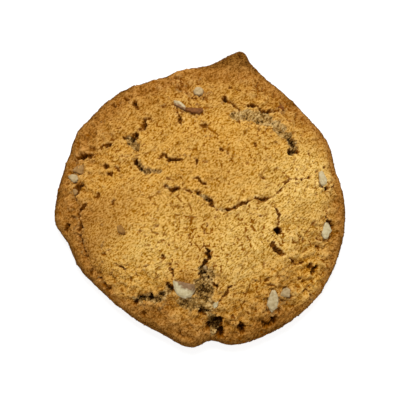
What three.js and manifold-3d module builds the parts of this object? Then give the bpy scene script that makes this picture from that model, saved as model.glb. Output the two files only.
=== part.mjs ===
// A pecan cookie: one free-form drop of dough, baked into a low dome that cracked as it rose, with chopped
// pecans half sunk in its crust. Millimetres, +Z up. The origin is the middle of its footprint, on the
// surface that it lies on.
import * as THREE from "three";
import { ImprovedNoise } from "three/addons/math/ImprovedNoise.js";
import { mergeVertices } from "three/addons/utils/BufferGeometryUtils.js";
import Module from "manifold-3d";

// The dome of dough
const TOP = 13.5;
const RIM_HEIGHT = 3;
const SHOULDER = 3;
const RINGS = 27;
const RING_CROWDING = 0.22;

// The edge under the rim, as [share of the rim's reach, share of its height], down to the flat underside
const UNDERCUT = [
  [0.992, 0.45],
  [0.958, 0],
];

// How far the rim reaches, as [degrees from +X, mm], with the pulled corner at 74 and the split at 274
const RIM = [
  [0, 43], [10, 41.5], [22, 42], [40, 40.5], [60, 41.5], [69, 44], [74, 47], [79, 44.5], [86, 41],
  [100, 39.5], [110, 38.5], [128, 40.5], [142, 41], [152, 42], [165, 41.5], [180, 43], [191, 44], [200, 42],
  [212, 42], [225, 41], [240, 41.5], [255, 43], [267, 45.5], [274, 43.5], [281, 45.5], [290, 46], [320, 46],
  [335, 45], [350, 44],
];

// Plates of crust that rose above the dome, as x, y, radius and rise
const SWELLS = [
  [5, 9, 13, 0.9],
  [13, -14, 11, 0.6],
  [-20, -8, 12, 0.7],
  [-12, 22, 9, 0.4],
  [-12, -22, 8, 0.4],
  [30, 2, 8, 0.5],
];

// Unevenness of the crust, as wave length and rise
const WAVES = [
  [10, 0.45],
  [4.5, 0.45],
  [2.7, 0.35],
];
const WAVES_FADE = 8;
const RIM_CRAG_LENGTH = 3.2;
const RIM_CRAG_REACH = 0.5;

// Cracks and torn troughs, each a path over the crust with its width and depth at the middle
const CRACKS = {
  torn_start: {
    width: 1.6,
    depth: 1.3,
    path: [[-17.3, 9.3], [-18.3, 7.4], [-16.4, 4.7], [-11.2, 5], [-9.7, 3.2]],
  },
  main_left: {
    width: 1.1,
    depth: 1.4,
    path: [[-10.8, 1.1], [-8.8, -0.4], [-7, -0.3], [-3.8, -0.7], [-2.7, -1.9]],
  },
  main_middle: {
    width: 1.5,
    depth: 1.6,
    path: [[-0.9, -1], [0.2, -2.5], [2.5, -3.4], [3.7, -5.5], [5.1, -6.9]],
  },
  main_right: {
    width: 1,
    depth: 1.3,
    path: [[5, -6.9], [10.1, -5.7], [12.4, -4.5], [15.6, -3.3], [18.2, -3.2], [21.4, -2.5]],
  },
  right_hole: {
    width: 1.3,
    depth: 2,
    path: [[21.7, -5], [22.7, -7.1], [22.8, -9.4], [22.6, -12.3], [21.6, -14.1]],
  },
  right_tail: {
    width: 1,
    depth: 1,
    path: [[20.6, -15.6], [21.8, -17.6], [23.9, -19.4], [28, -22.3]],
  },
  front_upper: {
    width: 1.1,
    depth: 1.4,
    path: [[0.8, -16.7], [1.8, -18], [2.5, -20.6], [1.1, -22.3], [-0.2, -23.8]],
  },
  front_split: {
    width: 3.2,
    depth: 2.2,
    path: [[0.8, -24.6], [1.7, -28], [0.8, -30.8], [1.7, -34.1], [3.1, -38.5], [3.3, -44.5]],
  },
  front_cross: {
    width: 2,
    depth: 1.3,
    path: [[-6.4, -32.9], [-3.2, -33.6], [0.2, -33.3], [4.6, -33.8]],
  },
  front_left: {
    width: 2.2,
    depth: 1.7,
    path: [[-19.4, -31.3], [-17.4, -32.2], [-12.4, -32.1], [-8.7, -28.5]],
  },
  front_stub: {
    width: 1,
    depth: 1,
    path: [[-8.3, -21.8], [-9.1, -23.4], [-7.8, -24.8], [-8.1, -27.1]],
  },
  torn_trough: {
    width: 3.4,
    depth: 1.7,
    path: [[9.3, 22.2], [13.2, 22.4], [17, 22], [20.1, 21.2], [23.1, 19.3], [25.4, 16.2]],
  },
  trough_end: {
    width: 2.6,
    depth: 2,
    path: [[25.2, 16.8], [26.8, 13.6], [27, 9.6]],
  },
  left_edge: {
    width: 1.3,
    depth: 1.2,
    path: [[-38.6, 9.6], [-34.5, 10.6], [-32, 10.5], [-29.9, 12.3], [-25.5, 14.6]],
  },
  left_torn: {
    width: 1.8,
    depth: 1.3,
    path: [[-21.9, 16], [-19.8, 14.3], [-18.6, 11.5]],
  },
  back_left: {
    width: 1,
    depth: 1,
    path: [[-14.9, 21.8], [-16.3, 20.6], [-16.5, 19], [-18.4, 17.4]],
  },
  back_middle: {
    width: 1,
    depth: 1,
    path: [[-8.4, 27], [-7.2, 24], [-5.8, 21.3], [-5.5, 18.8]],
  },
  edge_crease: {
    width: 1.6,
    depth: 0.7,
    path: [[-36.2, -2.8], [-35.2, -7.1], [-35.5, -12.2], [-34.6, -17.4]],
  },
};
const CRACK_STEP = 1.7;
const CRACK_TIP = 0.25;
const CRACK_FLOOR = 0.35;
const CRACK_WANDER = 0.5;
const CUT_CLEARANCE = 1.2;

// Pits, as x, y, length, width, depth and turn in degrees
const PITS = [
  [22.5, -12.3, 3.2, 1.6, 2.6, 85],
  [26.5, 14.7, 3, 2.2, 2.4, 20],
  [3.4, -39.8, 4.2, 3.4, 2.4, 80],
  [12.3, -39.6, 2.4, 1.8, 1.5, 60],
  [20.2, -38.9, 2.8, 1.8, 1.5, 10],
  [-19.2, 26, 2.6, 2, 1.4, 100],
  [7.4, 27.6, 1.9, 1.5, 1.2, 0],
  [32.4, -22.9, 2.6, 2.2, 1.4, 45],
  [-35.7, 0.7, 2.6, 1.8, 1.3, 70],
];

// Chopped pecans, as x, y, length, width, height, turn in degrees and depth of the middle under the crust
const PECANS = [
  [-4.9, -29.7, 6.6, 4.6, 4.4, -30, 0.9],
  [20.7, -32.4, 6.4, 4, 3.8, 65, 0.5],
  [24.7, -30.1, 4, 3.4, 3.2, 20, 0.5],
  [36.4, -12, 5, 3.2, 3.4, 75, 0.5],
  [36.2, 3.8, 4.8, 3, 3.4, 70, 0.6],
  [-35.9, 6.6, 4.2, 3, 3.2, 35, 0.3],
  [-37.6, 4.2, 3.8, 2.6, 3, 20, 0.4],
  [-0.7, 30, 3.6, 2.6, 2.8, 10, 0.5],
  [-3.6, 24.5, 8, 1.7, 2.4, -14, 0.3],
  [-22.9, -12.9, 2.6, 2, 1.8, 10, 0.3],
  [24.2, 25.8, 2.6, 2.2, 2.2, 30, 0.5],
];
const PECAN_UNEVENNESS = 0.34;
const PIT_UNEVENNESS = 0.4;

const SEED = 41;
const GOLDEN_CRUST = 0xc4914a;

const wasm = await Module();
wasm.setup();
const noise = new ImprovedNoise();
let seed = SEED;

// A random number from 0 to 1, the same at each run
function draw() {
  seed = (seed * 16807) % 2147483647;
  return seed / 2147483647;
}

// The rim's reach at an angle: a smooth closed curve through the knots
function rimReach(degrees) {
  const knot = (i) => {
    const turns = Math.floor(i / RIM.length);
    const [angle, reach] = RIM[i - turns * RIM.length];
    return { angle: angle + 360 * turns, reach };
  };
  const angle = RIM[0][0] + THREE.MathUtils.euclideanModulo(degrees - RIM[0][0], 360);
  let i = 0;
  while (knot(i + 1).angle <= angle) i += 1;
  const [before, from, to, after] = [i - 1, i, i + 1, i + 2].map(knot);
  const span = to.angle - from.angle;
  const slopeFrom = ((to.reach - before.reach) / (to.angle - before.angle)) * span;
  const slopeTo = ((after.reach - from.reach) / (after.angle - from.angle)) * span;
  const t = (angle - from.angle) / span;
  const blend = t * t * (3 - 2 * t);
  const bend = t * (1 - t) * ((1 - t) * slopeFrom - t * slopeTo);
  return from.reach + (to.reach - from.reach) * blend + bend;
}

// Height of the crust over a point of the plan, before cracks and pits
function crustHeight(x, y) {
  const degrees = THREE.MathUtils.radToDeg(Math.atan2(y, x));
  const share = Math.min(Math.hypot(x, y) / rimReach(degrees), 1);
  let rise = 0;
  for (const [cx, cy, radius, height] of SWELLS) {
    rise += height * Math.exp(-((x - cx) ** 2 + (y - cy) ** 2) / radius ** 2);
  }
  for (const [length, height] of WAVES) {
    rise += height * noise.noise(x / length, y / length, length);
  }
  const dome = (TOP - RIM_HEIGHT) * Math.sqrt(1 - share ** SHOULDER);
  return RIM_HEIGHT + dome + rise * (1 - share ** WAVES_FADE);
}

// A ring of the dough: count points at a share of the rim's reach, each at the height that heightAt gives
function doughRing(count, share, heightAt) {
  const ring = [];
  for (let i = 0; i < count; i += 1) {
    const angle = (i / count) * 2 * Math.PI;
    const smooth = share * rimReach(THREE.MathUtils.radToDeg(angle));
    const [u, v] = [smooth * Math.cos(angle), smooth * Math.sin(angle)].map((at) => at / RIM_CRAG_LENGTH);
    const reach = smooth + RIM_CRAG_REACH * noise.noise(u, v, 0) * share ** WAVES_FADE;
    const x = reach * Math.cos(angle);
    const y = reach * Math.sin(angle);
    ring.push([x, y, heightAt(x, y)]);
  }
  return ring;
}

// The whole drop of dough: rings of 6, 12, 18 and so on points over the top, then the undercut and the sole
function doughGeometry() {
  const rings = [[[0, 0, crustHeight(0, 0)]]];
  for (let k = 1; k <= RINGS; k += 1) {
    const t = k / RINGS;
    rings.push(doughRing(6 * k, t * (1 + RING_CROWDING - RING_CROWDING * t * t), crustHeight));
  }
  for (const [share, height] of UNDERCUT) {
    rings.push(doughRing(6 * RINGS, share, () => height * RIM_HEIGHT));
  }
  rings.push([[0, 0, 0]]);
  const points = rings.flat();
  const triangles = [];
  let start = 0;
  for (let k = 0; k + 1 < rings.length; k += 1) {
    const next = start + rings[k].length;
    triangles.push(...stitch(start, rings[k].length, next, rings[k + 1].length));
    start = next;
  }
  return meshGeometry(points, triangles);
}

// Triangles between two rings, stepping along whichever is behind. A ring of one point is a pole.
function stitch(first, firstCount, second, secondCount) {
  const triangles = [];
  const firstSteps = firstCount > 1 ? firstCount : 0;
  const secondSteps = secondCount > 1 ? secondCount : 0;
  let i = 0;
  let j = 0;
  while (i < firstSteps || j < secondSteps) {
    const a = first + (i % firstCount);
    const b = second + (j % secondCount);
    const secondIsBehind = (j + 1) * firstSteps <= (i + 1) * secondSteps;
    if (i === firstSteps || (j < secondSteps && secondIsBehind)) {
      triangles.push([a, b, second + ((j + 1) % secondCount)]);
      j += 1;
    } else {
      triangles.push([a, b, first + ((i + 1) % firstCount)]);
      i += 1;
    }
  }
  return triangles;
}

function meshGeometry(points, triangles) {
  const geometry = new THREE.BufferGeometry();
  geometry.setAttribute("position", new THREE.Float32BufferAttribute(points.flat(), 3));
  geometry.setIndex(triangles.flat());
  return geometry;
}

// The wedge that opens a crack: four corners at each step along its path, narrower and shallower at the ends
function crackGeometry({ width, depth, path }) {
  const line = new THREE.CatmullRomCurve3(path.map(([x, y]) => new THREE.Vector3(x, y, 0)));
  const steps = Math.max(4, Math.round(line.getLength() / CRACK_STEP));
  const points = [];
  const triangles = [];
  for (let i = 0; i <= steps; i += 1) {
    const along = i / steps;
    const open = CRACK_TIP + (1 - CRACK_TIP) * Math.sqrt(Math.sin(Math.PI * along));
    const tangent = line.getTangentAt(along);
    const side = new THREE.Vector3(tangent.y, -tangent.x, 0);
    const middle = line.getPointAt(along).addScaledVector(side, (draw() - 0.5) * CRACK_WANDER * width);
    const crust = crustHeight(middle.x, middle.y);
    const half = (width * open) / 2;
    const flare = half * (1 + ((1 - CRACK_FLOOR) * CUT_CLEARANCE) / (depth * open));
    const corner = (reach, z) => [middle.x + side.x * reach, middle.y + side.y * reach, z];
    points.push(corner(-flare, crust + CUT_CLEARANCE), corner(-half * CRACK_FLOOR, crust - depth * open));
    points.push(corner(half * CRACK_FLOOR, crust - depth * open), corner(flare, crust + CUT_CLEARANCE));
  }
  for (let i = 0; i < steps; i += 1) {
    triangles.push(...stitch(4 * i, 4, 4 * i + 4, 4));
  }
  const end = 4 * steps;
  triangles.push([0, 1, 2], [0, 2, 3], [end, end + 2, end + 1], [end, end + 3, end + 2]);
  return meshGeometry(points, triangles);
}

// An uneven rounded lump, for a pecan piece or the hollow of a pit
function lumpGeometry(detail, unevenness, size, place, turn) {
  const ball = new THREE.IcosahedronGeometry(0.5, detail);
  ball.deleteAttribute("normal");
  ball.deleteAttribute("uv");
  const lump = mergeVertices(ball);
  const point = new THREE.Vector3();
  const at = lump.getAttribute("position");
  for (let i = 0; i < at.count; i += 1) {
    point.fromBufferAttribute(at, i).multiplyScalar(1 + unevenness * (draw() - 0.5));
    at.setXYZ(i, point.x, point.y, point.z);
  }
  lump.scale(...size);
  lump.rotateZ(THREE.MathUtils.degToRad(turn));
  lump.translate(...place);
  return lump;
}

function solid(geometry) {
  const vertProperties = new Float32Array(geometry.getAttribute("position").array);
  const triVerts = new Uint32Array(geometry.getIndex().array);
  return new wasm.Manifold(new wasm.Mesh({ numProp: 3, vertProperties, triVerts }));
}

// The largest piece of a solid, without loose scraps and sealed hollows
function largestPiece(whole) {
  return whole.decompose().reduce((best, piece) => (piece.volume() > best.volume() ? piece : best));
}

function cookieGeometry() {
  let cookie = solid(doughGeometry());
  for (const crack of Object.values(CRACKS)) {
    cookie = cookie.subtract(solid(crackGeometry(crack)));
  }
  for (const [x, y, length, width, depth, turn] of PITS) {
    const place = [x, y, crustHeight(x, y)];
    cookie = cookie.subtract(solid(lumpGeometry(0, PIT_UNEVENNESS, [length, width, 2 * depth], place, turn)));
  }
  for (const [x, y, length, width, height, turn, sunk] of PECANS) {
    const place = [x, y, crustHeight(x, y) - sunk];
    cookie = cookie.add(solid(lumpGeometry(1, PECAN_UNEVENNESS, [length, width, height], place, turn)));
  }
  const { vertProperties, triVerts } = largestPiece(cookie).getMesh();
  const geometry = new THREE.BufferGeometry();
  geometry.setAttribute("position", new THREE.BufferAttribute(vertProperties, 3));
  geometry.setIndex(new THREE.BufferAttribute(triVerts, 1));
  return geometry;
}

// Sets the middle of the footprint on the origin
function centred(geometry) {
  geometry.computeBoundingBox();
  const middle = geometry.boundingBox.getCenter(new THREE.Vector3());
  geometry.translate(-middle.x, -middle.y, -geometry.boundingBox.min.z);
  geometry.computeVertexNormals();
  return geometry;
}

const crust = new THREE.MeshStandardMaterial({ color: GOLDEN_CRUST, roughness: 0.85, metalness: 0 });
const cookie = new THREE.Mesh(centred(cookieGeometry()), crust);
cookie.name = "cookie";

const group = new THREE.Group();
group.add(cookie);
export default group;
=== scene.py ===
# %% [markdown]
# A pecan cookie, as a lesson
# A spoonful of soft dough was dropped on a tray. It spread to a low dome in the oven, its dry crust browned
# and cracked as the inside rose, and chopped pecans stayed half sunk in the top.
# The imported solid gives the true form. Here the same form is made again at full detail: the crust's relief is
# carved by Geometry Nodes, and the nuts, the crumbs and the finishes follow.

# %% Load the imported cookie
import math
from functools import partial

import bmesh
import bpy
import numpy as np
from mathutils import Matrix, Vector, noise


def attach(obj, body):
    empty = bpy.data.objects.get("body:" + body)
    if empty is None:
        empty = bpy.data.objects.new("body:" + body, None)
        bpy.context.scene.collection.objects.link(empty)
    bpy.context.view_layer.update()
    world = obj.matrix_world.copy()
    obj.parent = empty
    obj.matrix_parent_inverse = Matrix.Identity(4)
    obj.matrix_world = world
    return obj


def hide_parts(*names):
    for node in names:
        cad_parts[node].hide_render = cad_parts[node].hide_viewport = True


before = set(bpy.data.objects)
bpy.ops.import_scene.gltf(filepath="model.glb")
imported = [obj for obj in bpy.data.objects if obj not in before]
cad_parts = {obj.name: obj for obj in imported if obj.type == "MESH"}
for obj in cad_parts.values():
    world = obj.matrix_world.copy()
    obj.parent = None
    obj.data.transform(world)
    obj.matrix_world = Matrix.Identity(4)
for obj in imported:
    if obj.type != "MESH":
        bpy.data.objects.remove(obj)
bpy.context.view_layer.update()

MM = 0.001
SEED = 41


# %% [markdown]
# Helpers for every cell
# Colours are written as the sRGB codes that a paint chart gives, and Blender computes in linear light, so
# one function turns the first into the second. Another adds a node with its settings and its links: a link's
# value is a socket, a node (its first output) or a plain value for the socket, and a row of colour codes
# becomes the even stops of a colour ramp. Shader trees and geometry trees share it, because their sockets
# work alike.

# %% Colour and node helpers
def linear(code):
    """The linear colour, with alpha, of an sRGB code."""
    parts = [int(code[i:i + 2], 16) / 255 for i in (1, 3, 5)]
    return tuple(p / 12.92 if p <= 0.04045 else ((p + 0.055) / 1.055) ** 2.4 for p in parts) + (1.0,)


def connect(node, links):
    """Links a node's inputs to other nodes or sockets, or sets them to plain values."""
    for key, value in links.items():
        socket = node.inputs[key]
        if isinstance(value, bpy.types.Node):
            value = next(output for output in value.outputs if output.enabled)
        if isinstance(value, bpy.types.NodeSocket):
            node.id_data.links.new(value, socket)
        else:
            socket.default_value = value


def add_node(tree, kind, links=None, stops=(), **settings):
    """A new node with its settings, its links and the colours of its ramp, where it has one."""
    node = tree.nodes.new(kind)
    for name, value in settings.items():
        setattr(node, name, value)
    for i, code in enumerate(stops):
        elements = node.color_ramp.elements
        stop = elements[i] if i < len(elements) else elements.new(1.0)
        stop.position = i / (len(stops) - 1)
        stop.color = linear(code)
    connect(node, links or {})
    return node


print("white is", linear("#FFFFFF"))


# %% Size and mesh helpers
def per_mm(size):
    """Scale of a texture whose pattern repeats about every size millimetres."""
    return 1 / (size * MM)


def heading(turn):
    """The direction of an angle in radians, seen from above."""
    return np.array((math.cos(turn), math.sin(turn)))


def set_attribute(mesh, name, values):
    data = mesh.attributes.new(name, "FLOAT", "POINT").data
    data.foreach_set("value", np.asarray(values, dtype=np.float32))


def add_object(name, data):
    made = bpy.data.objects.new(name, data)
    bpy.context.scene.collection.objects.link(made)
    return made


print("a pattern of 2 mm has the scale", per_mm(2))


# %% [markdown]
# The camera
# The cookie is seen nearly from above: its far rim shows almost as much wall as its near one. A short lens
# close by would bulge the dome, so a long lens from a third of a metre gives the flat look of the picture.
# The distance follows from the width of the view at the rim.

# %% Camera
VIEW_ELEVATION = math.radians(78)
VIEW_WIDTH = 120
VIEW_AIM = Vector((-0.07, -1.35, 3.0)) * MM
LENS = 100
SENSOR = 36
NEAREST = 10

camera_data = bpy.data.cameras.new("camera")
camera_data.lens = LENS
camera_data.sensor_width = SENSOR
camera_data.clip_start = NEAREST * MM
camera = add_object("camera", camera_data)
view_distance = VIEW_WIDTH * MM * LENS / SENSOR
towards_camera = Vector((0, -math.cos(VIEW_ELEVATION), math.sin(VIEW_ELEVATION)))
camera.location = VIEW_AIM + towards_camera * view_distance
camera.rotation_euler = (math.pi / 2 - VIEW_ELEVATION, 0, 0)
bpy.context.scene.camera = camera
print("camera at", [round(v, 3) for v in camera.location])


# %% [markdown]
# The outline and the dome
# A dropped cookie is never a circle: this one has a pulled corner at the back and a split at the front. It
# could be sculpted, but a rule is easier to change: the rim's reach is a smooth closed curve through a few
# knots, each an angle and a distance. The height is a flat-topped dome with a few swells, the plates of crust
# that rose between the cracks, each a place, a radius and a height.

# %% Outline of the rim
RIM = np.array([
    (0, 43.0), (10, 41.5), (22, 42.0), (40, 40.5), (60, 41.5), (69, 44.0), (74, 47.0), (79, 44.5), (86, 41.0),
    (100, 39.5), (110, 38.5), (128, 40.5), (142, 41.0), (152, 42.0), (165, 41.5), (180, 43.0), (191, 44.0),
    (200, 42.0), (212, 42.0), (225, 41.0), (240, 41.5), (255, 43.0), (267, 45.5), (274, 43.5), (281, 45.5),
    (290, 46.0), (320, 46.0), (335, 45.0), (350, 44.0),
])


def rim_reach(degrees):
    """How far the rim is from the middle, on a smooth curve through the knots."""
    angles = np.concatenate([RIM[-2:, 0] - 360, RIM[:, 0], RIM[:3, 0] + 360])
    reaches = np.concatenate([RIM[-2:, 1], RIM[:, 1], RIM[:3, 1]])
    slopes = np.zeros(len(angles))
    slopes[1:-1] = (reaches[2:] - reaches[:-2]) / (angles[2:] - angles[:-2])
    at = np.mod(degrees, 360)
    i = np.searchsorted(angles, at, side="right") - 1
    span = angles[i + 1] - angles[i]
    t = (at - angles[i]) / span
    bend = t * (1 - t) * ((1 - t) * slopes[i] - t * slopes[i + 1]) * span
    return reaches[i] + (reaches[i + 1] - reaches[i]) * t * t * (3 - 2 * t) + bend


sweep = rim_reach(np.arange(360))
print("rim reaches", sweep.min().round(1), "to", sweep.max().round(1), "mm")


# %% Height of the dome
TOP = 13.5
RIM_HEIGHT = 3.0
SHOULDER = 3.0
EDGE_FADE = 8
SWELLS = [
    (5, 9, 13, 0.9), (13, -14, 11, 0.6), (-20, -8, 12, 0.7), (-12, 22, 9, 0.4), (-12, -22, 8, 0.4),
    (30, 2, 8, 0.5),
]


def soft_patches(x, y, table):
    """The sum of round patches that fade outwards, each a place, a radius and a strength."""
    return sum(s * np.exp(-((x - cx) ** 2 + (y - cy) ** 2) / r ** 2) for cx, cy, r, s in table)


def dome_height(x, y):
    share = np.minimum(np.hypot(x, y) / rim_reach(np.degrees(np.arctan2(y, x))), 1)
    swell = soft_patches(x, y, SWELLS) * (1 - share ** EDGE_FADE)
    return RIM_HEIGHT + (TOP - RIM_HEIGHT) * np.sqrt(1 - share ** SHOULDER) + swell


print("the middle is", dome_height(0.0, 0.0).round(1), "mm high")


# %% [markdown]
# The drop of dough before it cracks
# The crust needs points a quarter of a millimetre apart everywhere. A polar grid would crowd them in the
# middle, and a subdivided cube would turn them at its edges. Rings of 6, 12, 18 and so on points keep the
# triangles near one size. They crowd a little towards the rim, where the dome falls steeply, then turn under
# to the flat sole. A ring also says how far out it lies on the texture map, its spread.

# %% Rings of the dough
TOP_RINGS = 170
RING_STEP = 6
RING_CROWDING = 0.22
WALL_SPREAD = 0.955
# Under the rim, each ring's shares of the reach and of the rim's height. On the sole, share and points.
UNDERCUT = [(0.9990, 0.72), (0.992, 0.42), (0.978, 0.14), (0.958, 0.0)]
SOLE_RINGS = [
    (0.93, 620), (0.89, 420), (0.82, 330), (0.74, 280), (0.66, 240), (0.58, 200), (0.5, 170), (0.42, 140),
    (0.34, 110), (0.26, 84), (0.18, 56), (0.1, 30), (0.0, 1),
]

rings = [dict(count=1, share=0.0, spread=0.0, sole=False, height=None)]
for k in range(1, TOP_RINGS + 1):
    t = k / TOP_RINGS
    share = t * (1 + RING_CROWDING - RING_CROWDING * t * t)
    rings.append(dict(count=RING_STEP * k, share=share, spread=t * WALL_SPREAD, sole=False, height=None))
for k, (share, level) in enumerate(UNDERCUT, start=1):
    spread = WALL_SPREAD + (1 - WALL_SPREAD) * k / len(UNDERCUT)
    rings.append(dict(count=RING_STEP * TOP_RINGS, share=share, spread=spread, sole=False,
                      height=level * RIM_HEIGHT))
for share, count in SOLE_RINGS:
    rings.append(dict(count=count, share=share, spread=share / UNDERCUT[-1][0], sole=True, height=0.0))
print("the dough has", len(rings), "rings")


# %% Stitch the rings into a mesh
def stitch(first, first_count, second, second_count):
    """Triangles between two rings, stepping along whichever is behind. A ring of one point is a pole."""
    triangles = []
    first_steps = first_count if first_count > 1 else 0
    second_steps = second_count if second_count > 1 else 0
    i = j = 0
    while i < first_steps or j < second_steps:
        a = first + i % first_count
        b = second + j % second_count
        second_is_behind = (j + 1) * first_steps <= (i + 1) * second_steps
        if i == first_steps or (j < second_steps and second_is_behind):
            triangles.append((a, b, second + (j + 1) % second_count))
            j += 1
        else:
            triangles.append((a, b, first + (i + 1) % first_count))
            i += 1
    return triangles


columns = {name: [] for name in ("x", "y", "z", "share", "turn", "spread", "sole")}
faces = []
start = 0
for k, ring in enumerate(rings):
    count = ring["count"]
    turn = np.arange(count) / count * 2 * np.pi
    reach = ring["share"] * rim_reach(np.degrees(turn))
    x = reach * np.cos(turn)
    y = reach * np.sin(turn)
    z = dome_height(x, y) if ring["height"] is None else np.full(count, ring["height"])
    same = {name: np.full(count, float(ring[name])) for name in ("share", "spread", "sole")}
    for name, values in dict(x=x, y=y, z=z, turn=turn, **same).items():
        columns[name].append(values)
    if k:
        faces += stitch(start - rings[k - 1]["count"], rings[k - 1]["count"], start, count)
    start += count
dough_points = {name: np.concatenate(parts) for name, parts in columns.items()}

dough_mesh = bpy.data.meshes.new("cookie_dough")
dough_mesh.from_pydata(np.stack([dough_points[axis] for axis in "xyz"], axis=1) * MM, [], faces)
print("dough:", len(dough_mesh.vertices), "points,", len(dough_mesh.polygons), "triangles")


# %% [markdown]
# How brown, and where
# Crust browns where it is thin or stands proud: along the rim, over the sole, and in patches. A narrow dark
# band at the very edge of the rim is painted shade, where the crust turns away from the light, on top of its
# browning. It could be painted by hand on an image, but a handful of soft patches, each a place, a radius and a
# strength, is enough and stays in the script. Negative patches are the pale plates. Other patches say where
# the crust is yellower or smoother, and everything is stored on the points, for the relief and the finish to
# read.

# %% Browning
RIM_BROWN = 0.55
RIM_BROWN_POWER = 7
# A narrow band at the very edge: painted shade where the rim turns away from the light, added to the browning.
EDGE_SHADE = 1.2
EDGE_SHADE_POWER = 36
SOLE_BROWN = 0.62
BROWN_PATCHES = [
    (-25, -9, 10, 0.34), (-37, -4, 8, 0.22), (-3, -39, 13, 0.14), (39, -2, 6, 0.2), (9, 37, 12, 0.22),
    (-24, 29, 13, 0.32), (27, 26, 8, 0.16), (-36, 14, 10, 0.25), (-8, 36, 12, 0.15), (-36, -8, 5, 0.15),
    (-33, -19, 6, 0.14), (10, 42, 7, 1.0), (27, -27, 5, 0.25), (-18, -20, 9, -0.4), (34, 4, 8, -0.35),
    (33, -30, 8, -0.6), (-4.6, -25.6, 2.4, 0.3), (4, 10, 14, 0.05), (-12, -37, 8, 0.23),
    (20, -37, 8, 0.27), (-9, 34.5, 2.5, 0.25), (-5, 31, 2, 0.25),
]

x, y, z, share = (dough_points[name] for name in ("x", "y", "z", "share"))
browning = RIM_BROWN * share ** RIM_BROWN_POWER + EDGE_SHADE * share ** EDGE_SHADE_POWER
browning = browning + soft_patches(x, y, BROWN_PATCHES)
browning = np.where(z < RIM_HEIGHT, np.maximum(browning, SOLE_BROWN), browning)
set_attribute(dough_mesh, "browning", browning)
print("browning from", browning.min().round(2), "to", browning.max().round(2))


# %% Yellow, smooth and uneven crust
# How uneven the crust is at each share of the way to the rim.
UNEVEN = ((0, 0.3), (0.5, 0.5), (0.72, 1.5), (0.88, 2.3), (0.95, 1.5), (1, 0.3))
WALL_BARE = 0.5
YELLOW_PATCHES = [
    (27, -2, 12, 1.0), (12, -14, 10, 0.9), (27, -12, 8, 0.6), (-14, -19, 10, 0.7), (-7, -8, 8, 0.35),
    (10, -23, 8, 0.7), (34, 3, 9, 0.9),
]
SMOOTH_PATCHES = [
    (-26, -10, 11, 0.8), (-24, 22, 6, 0.5), (8, 37, 8, 0.5), (33, -5, 6, 0.5), (-12, -38, 7, 0.4),
    (33, 8, 7, 0.6), (32, 17, 6, 0.5), (-30, -17, 6, 0.6), (-22, -18, 7, 0.4),
]

smooth = soft_patches(x, y, SMOOTH_PATCHES)
set_attribute(dough_mesh, "yellow", soft_patches(x, y, YELLOW_PATCHES))
set_attribute(dough_mesh, "smooth", smooth)
set_attribute(dough_mesh, "uneven", np.interp(share, *zip(*UNEVEN)) * (1 - smooth))
set_attribute(dough_mesh, "rim", share ** EDGE_FADE)
# Relief fades down the wall, and its lowest part stays bare so that no grain reaches under the cookie.
set_attribute(dough_mesh, "crust", np.clip((z - WALL_BARE) / (RIM_HEIGHT - WALL_BARE), 0, 1))
print("smoothest place:", smooth.max().round(2))


# %% [markdown]
# The texture map
# An exported model carries its colours as a flat picture, so each face needs a place on it. An automatic
# unwrap would cut the crust into many islands. The rings already are circles, so the top with its wall and
# the sole are laid out as two discs, the sole's smaller because it shows less.

# %% Texture map
# Each disc's middle and radius on the picture.
TOP_DISC = (0.411, 0.41)
SOLE_DISC = (0.829, 0.168)

corner_point = np.zeros(len(dough_mesh.loops), dtype=np.int32)
dough_mesh.loops.foreach_get("vertex_index", corner_point)
sole_corner = dough_points["sole"][corner_point]
on_sole = sole_corner.reshape(-1, 3).max(axis=1).repeat(3) > 0
spread = np.where(on_sole & (sole_corner == 0), 1.0, dough_points["spread"][corner_point])
middle, reach = (np.where(on_sole, SOLE_DISC[i], TOP_DISC[i]) for i in (0, 1))
turn = dough_points["turn"][corner_point]
layout = np.stack([middle + reach * spread * np.cos(turn), middle + reach * spread * np.sin(turn)], axis=1)
dough_mesh.uv_layers.new(name="OFBake").data.foreach_set("uv", layout.astype(np.float32).ravel())
print("the map spans", layout.min().round(3), "to", layout.max().round(3))


# %% [markdown]
# Where the nuts sit
# Pecans were chopped and stirred in, so a piece shows one flat cut face or a strip of brown skin, with the
# dough shrunk away from it all round. Each is given by how far it rises, the slope of its cut face, how far
# it roasted, the skin that it still has, and the outline that shows. Skin is a direction in degrees, how far
# from the middle it starts, and the radius of its curved edge. Modelling them one by one would take longer
# and fit no better. The outlines come first because the crust is carved round them.

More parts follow.
